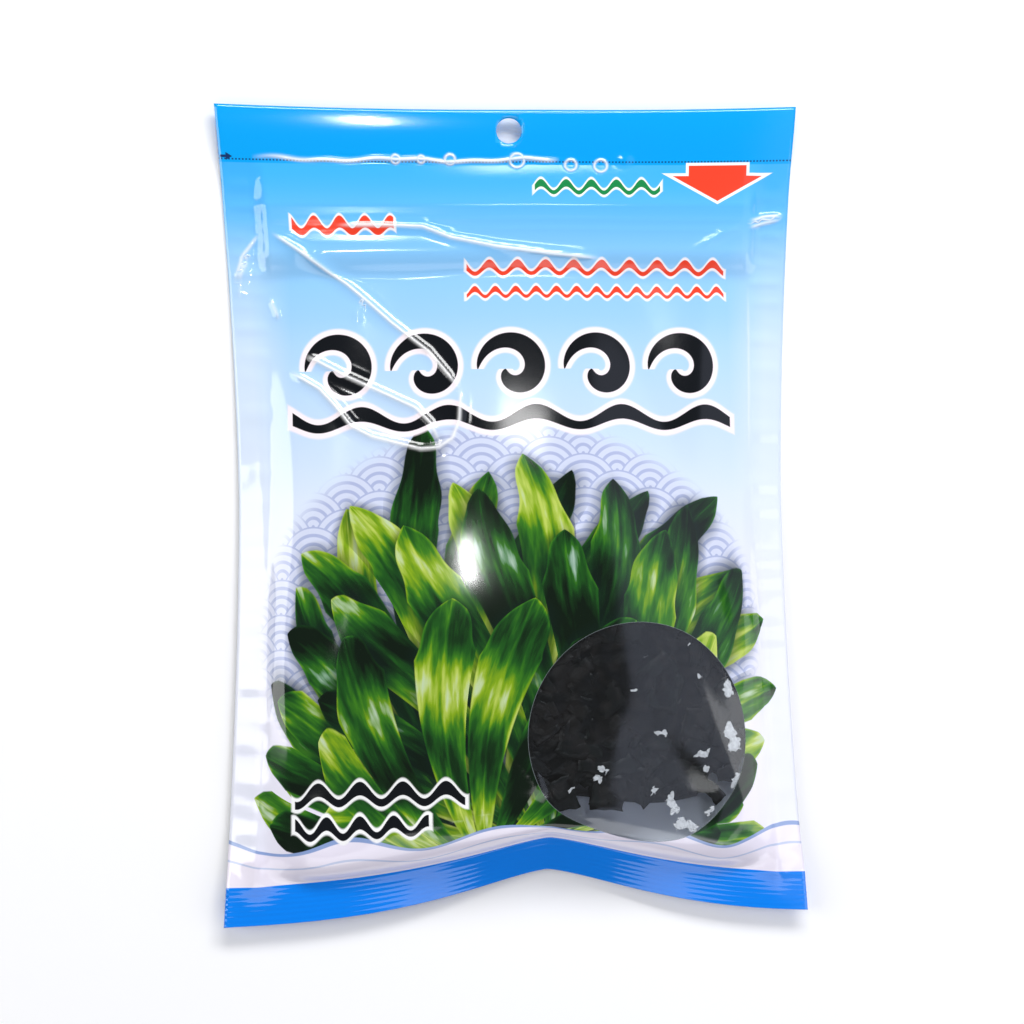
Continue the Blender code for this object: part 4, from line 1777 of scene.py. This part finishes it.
@dataclass
class Studio:
    """The pale table, the soft lights and the camera that looks down on the pouch."""

    sky: float = 0.10
    table: str = "#FDFDFE"
    place: tuple[float, float, float] = (-0.0630, -0.0032, 0.650)
    turn: tuple[float, float, float] = (0.33, -5.51, -0.75)
    lens: float = 74.2
    lights: tuple[SoftLight, ...] = (
        SoftLight("lamp_over_header", (-0.02, 0.17, 0.90), (0.024, 0.08), 60.0),
        SoftLight("ceiling_lamp", (0.11, 0.40, 0.90), (0.10, 0.05), 11.0),
        SoftLight("key_strip", (0.28, 1.00, 0.80), (1.10, 0.32), 13.0),
        SoftLight("left_softbox", (-0.95, 0.10, 0.50), (0.5, 0.9), 3.4),
        SoftLight("right_softbox", (0.95, -0.25, 0.42), (0.5, 0.9), 1.4),
        SoftLight("front_softbox", (0.0, -0.85, 0.85), (1.2, 0.6), 1.5),
        SoftLight(
            "white_card", (1.03, -0.1, 0.66), (1.60, 2.00), 0.44, (1.03, -0.1, 0.0), (0.86, 0.93, 1.18)
        ),
    )

    def build(self) -> None:
        """Sets the table, the lights and the camera."""
        self.lay_table()
        for light in self.lights:
            light.build()
        world = bpy.data.worlds.new("pale_room")
        world.use_nodes = True
        background = world.node_tree.nodes["Background"]
        background.inputs["Color"].default_value = (1.0, 1.0, 1.0, 1.0)
        background.inputs["Strength"].default_value = self.sky
        bpy.context.scene.world = world
        bpy.context.scene.view_settings.view_transform = "Standard"
        self.set_camera()

    def lay_table(self) -> None:
        """A wide plain table top."""
        material, tree = new_material("white_table")
        shade = add(tree, PRINCIPLED, {
            "Base Color": linear(self.table), "Roughness": 0.85, "Specular IOR Level": 0.1,
        })
        add(tree, OUTPUT, {"Surface": shade})
        mesh = bpy.data.meshes.new("table")
        mesh.from_pydata([(-4, -4, 0), (4, -4, 0), (4, 4, 0), (-4, 4, 0)], [], [(0, 1, 2, 3)])
        mesh.materials.append(material)
        linked("table", mesh)

    def set_camera(self) -> None:
        """Looks down on the pouch from a little to its left, as the photograph does."""
        data = bpy.data.cameras.new("camera")
        data.sensor_width = 36.0
        data.lens = self.lens
        camera = bpy.data.objects.new("camera", data)
        camera.location = self.place
        camera.rotation_euler = [math.radians(angle) for angle in self.turn]
        bpy.context.scene.collection.objects.link(camera)
        bpy.context.scene.camera = camera


@dataclass
class WakameHeap:
    """The dried wakame: a dark packed middle, and crinkled flakes over it and round it."""

    form: PouchForm
    skin: FilmSkin
    finish: Callable[[], bpy.types.Material]
    window: tuple[float, float] = (0.0364, 0.0556)
    flake_length: float = 0.0125
    flake_width: float = 0.0080
    density: float = 22000.0
    window_density: float = 95000.0
    depth: float = 0.0016
    press: float = 0.0004
    core_depth: float = 0.0020
    thickness: float = 0.00022
    seed: int = 4
    pale_bits: tuple[tuple[float, float, float, float, float], ...] = (
        (29.0, 14.0, 5.0, 2.6, 100.0), (29.5, -1.0, 8.5, 4.2, 115.0), (19.8, -6.0, 5.0, 2.4, 5.0),
        (30.5, -14.5, 4.0, 1.8, 60.0), (10.2, -21.7, 6.5, 3.0, 125.0), (4.6, -17.7, 2.8, 2.0, 80.0),
        (14.5, -28.0, 8.0, 3.6, -10.0), (6.5, 0.8, 3.2, 1.6, 0.0), (-13.0, -11.5, 5.4, 3.0, 60.0),
        (22.0, -23.5, 2.6, 1.4, 40.0), (21.0, -10.5, 2.0, 0.9, 80.0), (18.6, 17.8, 1.6, 0.8, 10.0),
        (-2.0, 14.4, 1.4, 0.8, 0.0), (-21.0, -16.0, 2.2, 1.2, 30.0), (16.0, 27.0, 2.0, 1.4, 0.0),
    )

    def build(self) -> None:
        """Makes the heap's middle and its flakes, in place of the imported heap."""
        material = self.finish()
        made = (self.flakes(material), self.stem_bits(PaleJaggedBit().build()), self.core(material))
        for piece in made:
            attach(piece, "root")
            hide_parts("cut_wakame")
            log.info("%s: %d faces", piece.name, len(piece.data.polygons))

    def flake_tree(self, material: bpy.types.Material) -> bpy.types.NodeTree:
        """Geometry Nodes that scatter crinkled flakes over a rectangle, in the flat film's place.

        Args:
            material: the flakes' material.

        Returns:
            The tree, with its sizes as named inputs.
        """
        tree = bpy.data.node_groups.new("scattered_flakes", "GeometryNodeTree")
        tree.interface.new_socket("Geometry", in_out="INPUT", socket_type="NodeSocketGeometry")
        for name in ("Length", "Width", "Density", "Window Density", "Depth"):
            tree.interface.new_socket(name, in_out="INPUT", socket_type="NodeSocketFloat")
        tree.interface.new_socket("Window", in_out="INPUT", socket_type="NodeSocketVector")
        tree.interface.new_socket("Geometry", in_out="OUTPUT", socket_type="NodeSocketGeometry")
        given = tree.nodes.new("NodeGroupInput").outputs
        place = add(tree, "GeometryNodeInputPosition")
        away = add(tree, VectorSum.AWAY, [place, given["Window"]])
        near = add(tree, RANGE, {
            "Value": away.outputs["Value"], "From Min": 0.050, "From Max": 0.034,
        })
        thick = add(tree, MIX, [near, given["Density"], given["Window Density"]])
        points = add(tree, "GeometryNodeDistributePointsOnFaces", {
            "Mesh": given["Geometry"], "Density": thick, "Seed": self.seed,
        })
        blade = add(tree, "GeometryNodeMeshGrid", {
            "Size X": given["Length"], "Size Y": given["Width"], "Vertices X": 9, "Vertices Y": 6,
        })
        turn = add(tree, RANDOM, {
            0: (-0.16, -0.16, 0.0), 1: (0.16, 0.16, math.tau), "Seed": self.seed + 1,
        }, data_type="FLOAT_VECTOR")
        size = add(tree, RANDOM, {
            0: (0.40, 0.40, 1.0), 1: (1.30, 1.40, 1.0), "Seed": self.seed + 2,
        }, data_type="FLOAT_VECTOR")
        drop = add(tree, RANDOM, {
            2: 0.0, 3: 1.0, "Seed": self.seed + 3,
        }, data_type="FLOAT")
        sink = add(tree, Sum.TIMES, [drop, given["Depth"]])
        sunk = add(tree, JOIN, {"Z": sink})
        lower = add(tree, VectorSum.MINUS, [(0.0, 0.0, 0.0), sunk])
        spread = add(tree, MOVE, {"Geometry": points, "Offset": lower})
        scattered = add(tree, "GeometryNodeInstanceOnPoints", {
            "Points": spread, "Instance": blade, "Rotation": turn, "Scale": size,
        })
        own = add(tree, RANDOM, {
            0: (0.0, 0.0, 0.0), 1: (1.0, 1.0, 1.0), "Seed": self.seed + 4,
        }, data_type="FLOAT_VECTOR")
        marked = add(tree, "GeometryNodeStoreNamedAttribute", {
            "Geometry": scattered, "Name": "own", "Value": own,
        }, data_type="FLOAT_VECTOR", domain="INSTANCE")
        real = add(tree, "GeometryNodeRealizeInstances", {"Geometry": marked})
        mark = add(tree, "GeometryNodeInputNamedAttribute", {"Name": "own"}, data_type="FLOAT_VECTOR")
        shifted = add(tree, VectorSum.PLUS, [place, mark])
        for scale, strength in ((120.0, 0.0040), (420.0, 0.0018)):
            noise = add(tree, NOISE, {
                "Vector": shifted, "Scale": scale, "Detail": 1.0,
            })
            centred = add(tree, VectorSum.MINUS, [
                noise.outputs["Color"], (0.5, 0.5, 0.5),
            ])
            push = add(tree, VectorSum.SCALE, {
                0: centred, "Scale": strength,
            })
            real = add(tree, MOVE, {"Geometry": real, "Offset": push})
        dressed = add(tree, "GeometryNodeSetMaterial", {"Geometry": real, "Material": material})
        add(tree, "NodeGroupOutput", [dressed])
        return tree

    def jagged_bit_tree(self, material: bpy.types.Material) -> bpy.types.NodeTree:
        """Geometry Nodes that put a jagged bit on every point, by the point's own size and turn.

        Args:
            material: the bits' material.

        Returns:
            The tree.
        """
        tree = bpy.data.node_groups.new("jagged_bits", "GeometryNodeTree")
        tree.interface.new_socket("Geometry", in_out="INPUT", socket_type="NodeSocketGeometry")
        tree.interface.new_socket("Jag", in_out="INPUT", socket_type="NodeSocketFloat")
        tree.interface.new_socket("Geometry", in_out="OUTPUT", socket_type="NodeSocketGeometry")
        given = tree.nodes.new("NodeGroupInput").outputs
        size = add(tree, "GeometryNodeInputNamedAttribute", {"Name": "size"}, data_type="FLOAT_VECTOR")
        turn = add(tree, "GeometryNodeInputNamedAttribute", {"Name": "turn"}, data_type="FLOAT")
        turned = add(tree, JOIN, {"Z": turn})
        bit = add(tree, "GeometryNodeMeshGrid", {
            "Size X": 1.0, "Size Y": 1.0, "Vertices X": 22, "Vertices Y": 14,
        })
        placed = add(tree, "GeometryNodeInstanceOnPoints", {
            "Points": given["Geometry"], "Instance": bit, "Rotation": turned, "Scale": size,
        })
        real = add(tree, "GeometryNodeRealizeInstances", {"Geometry": placed})
        place = add(tree, "GeometryNodeInputPosition")
        for scale, share in ((300.0, 2.6), (900.0, 1.7)):
            noise = add(tree, NOISE, {"Vector": place, "Scale": scale, "Detail": 1.0})
            centred = add(tree, VectorSum.MINUS, [noise.outputs["Color"], (0.5, 0.5, 0.5)])
            flat = add(tree, VectorSum.TIMES, [centred, (share, share, share * 0.08)])
            push = add(tree, VectorSum.SCALE, {0: flat, "Scale": given["Jag"]})
            real = add(tree, MOVE, {"Geometry": real, "Offset": push})
        dressed = add(tree, "GeometryNodeSetMaterial", {"Geometry": real, "Material": material})
        add(tree, "NodeGroupOutput", [dressed])
        return tree

    def stem_bits(self, material: bpy.types.Material) -> bpy.types.Object:
        """The few pale bits that lie against the window.

        Args:
            material: their material.

        Returns:
            The bits, as one mesh.
        """
        bits = np.array(self.pale_bits)
        centre = np.array(self.window)
        places = np.zeros((len(bits), 3))
        places[:, :2] = centre + bits[:, :2] * MM
        mesh = bpy.data.meshes.new("pale_bit_points")
        mesh.from_pydata(places.tolist(), [], [])
        sizes = np.column_stack([bits[:, 2:4] * MM * 0.88, np.full(len(bits), MM)])
        mesh.attributes.new("size", "FLOAT_VECTOR", "POINT").data.foreach_set("vector", sizes.ravel())
        turns = np.radians(bits[:, 4])
        mesh.attributes.new("turn", "FLOAT", "POINT").data.foreach_set("value", turns)
        return self.grown("stem_bits", mesh, self.jagged_bit_tree(material), {"Jag": 0.0016}, 0.0)

    def grown(
        self, name: str, mesh: bpy.types.Mesh, tree: bpy.types.NodeTree,
        sizes: dict[str, Any], base: float,
    ) -> bpy.types.Object:
        """Runs a node tree on a flat mesh, and folds the result in between the films.

        Args:
            name: the piece's name.
            mesh: what the tree starts from.
            tree: the tree.
            sizes: its named inputs.
            base: how deep below the front film flat space lies.

        Returns:
            The piece, as a plain mesh with a live thickness.
        """
        holder = linked(f"{name}_field", mesh)
        grow = holder.modifiers.new("grow", "NODES")
        grow.node_group = tree
        for item in tree.interface.items_tree:
            if item.in_out == "INPUT" and item.name in sizes:
                grow[item.identifier] = sizes[item.name]
        graph = bpy.context.evaluated_depsgraph_get()
        made = bpy.data.meshes.new_from_object(holder.evaluated_get(graph))
        bpy.data.objects.remove(holder)
        made.name = name
        self.fold_in(made, base)
        made.polygons.foreach_set("use_smooth", [True] * len(made.polygons))
        piece = linked(name, made)
        thick = piece.modifiers.new("thickness", "SOLIDIFY")
        thick.thickness = self.thickness
        thick.offset = 0.0
        return piece

    def flakes(self, material: bpy.types.Material) -> bpy.types.Object:
        """Scatters the flakes in flat space and folds them in between the films.

        Args:
            material: the flakes' material.

        Returns:
            The flakes, as one mesh.
        """
        form = self.form
        low = (-form.pocket_half + 0.010, form.bottom_seal + 0.024)
        high = (form.pocket_half - 0.010, form.zip_low - 0.030)
        mesh = bpy.data.meshes.new("flake_field")
        corners = [(*low, 0), (high[0], low[1], 0), (*high, 0), (low[0], high[1], 0)]
        mesh.from_pydata(corners, [], [(0, 1, 2, 3)])
        sizes = {
            "Length": self.flake_length,
            "Width": self.flake_width,
            "Density": self.density,
            "Window Density": self.window_density,
            "Depth": self.depth,
            "Window": (*self.window, 0.0),
        }
        return self.grown("wakame_flakes", mesh, self.flake_tree(material), sizes, 0.0009)

    def fold_in(self, mesh: bpy.types.Mesh, base: float) -> None:
        """Moves points of flat space, with their depth as z, to between the films.

        Args:
            mesh: the mesh to move.
            base: how deep below the front film flat space lies.
        """
        places = np.empty(len(mesh.vertices) * 3)
        mesh.vertices.foreach_get("co", places)
        places = places.reshape(-1, 3)
        limit = self.form.pocket_half - 0.004
        u = np.clip(places[:, 0], -limit, limit)
        v = np.clip(places[:, 1], self.form.bottom_seal + 0.004, self.form.zip_low - 0.012)
        front, back = self.skin.at(u, v)
        room = front[:, 2] - back[:, 2]
        least = np.minimum(self.press, room / 4)
        sunk = base - places[:, 2]
        depth = least + 0.5 * (sunk + np.sqrt(sunk**2 + 0.0004**2))
        front[:, 2] -= np.minimum(depth, room - least)
        mesh.vertices.foreach_set("co", front.ravel())
        mesh.update()

    def core(self, material: bpy.types.Material) -> bpy.types.Object:
        """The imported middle: a closed lumpy body under the flakes.

        Args:
            material: its material.

        Returns:
            The body.
        """
        columns, rows = 76, 90
        across = np.linspace(-1, 1, columns)
        up = np.linspace(-1, 1, rows)
        s, t = np.meshgrid(across, up)
        u = 0.068 * s * np.sqrt(1 - t * t / 3.2)
        v = 0.1015 + 0.0675 * t * np.sqrt(1 - s * s / 12)
        v += 0.0025 * np.sin(u * 85 + 0.8) * clamp(-t)
        front, back = (p.reshape(*u.shape, 3) for p in self.skin.at(u.ravel(), v.ravel()))
        lumps = np.sin(u * 460 + 3 * np.sin(v * 190)) * np.sin(v * 520 + 2 * np.sin(u * 230))
        edge = smooth((1 - np.maximum(np.abs(s), np.abs(t))) / 0.12)
        room = front[..., 2] - back[..., 2]
        lie = np.minimum(0.0006, room / 4)
        tall = np.maximum(room - self.core_depth + 0.0006 * lumps, room / 4) * (0.3 + 0.7 * edge)
        top, bottom = front.copy(), front.copy()
        bottom[..., 2] = back[..., 2] + lie
        top[..., 2] = np.minimum(bottom[..., 2] + tall, front[..., 2] - lie)
        number = np.arange(s.size).reshape(s.shape)
        upper = grid_quads(number)
        lower = upper[..., ::-1] + s.size
        ring = np.concatenate([number[0, :-1], number[:-1, -1], number[-1, :0:-1], number[:0:-1, 0]])
        after = np.roll(ring, -1)
        wall = np.stack([ring, ring + s.size, after + s.size, after], axis=-1)
        faces = [*upper.reshape(-1, 4).tolist(), *lower.reshape(-1, 4).tolist(), *wall.tolist()]
        points = np.concatenate([top.reshape(-1, 3), bottom.reshape(-1, 3)])
        mesh = bpy.data.meshes.new("wakame_core")
        mesh.from_pydata(points.tolist(), [], faces)
        mesh.polygons.foreach_set("use_smooth", [True] * len(mesh.polygons))
        mesh.materials.append(material)
        return linked("wakame_core", mesh)


def main() -> None:
    """Builds the pouch, its filling and the studio, and reports each piece."""
    form = PouchForm()
    films = FilmSimulation(form).run()
    log.info("films: %d by %d stations", len(films.across), len(films.up))
    skin = FilmSkin(form, films)
    FilmPanel(form, skin, Side.FRONT, PrintedFilm().build).build()
    FilmPanel(form, skin, Side.BACK, PlainFilm().build).build()
    WakameHeap(form, skin, DriedWakame().build).build()
    PlainZip().build()
    Studio().build()


if __name__ == "__main__":
    main()
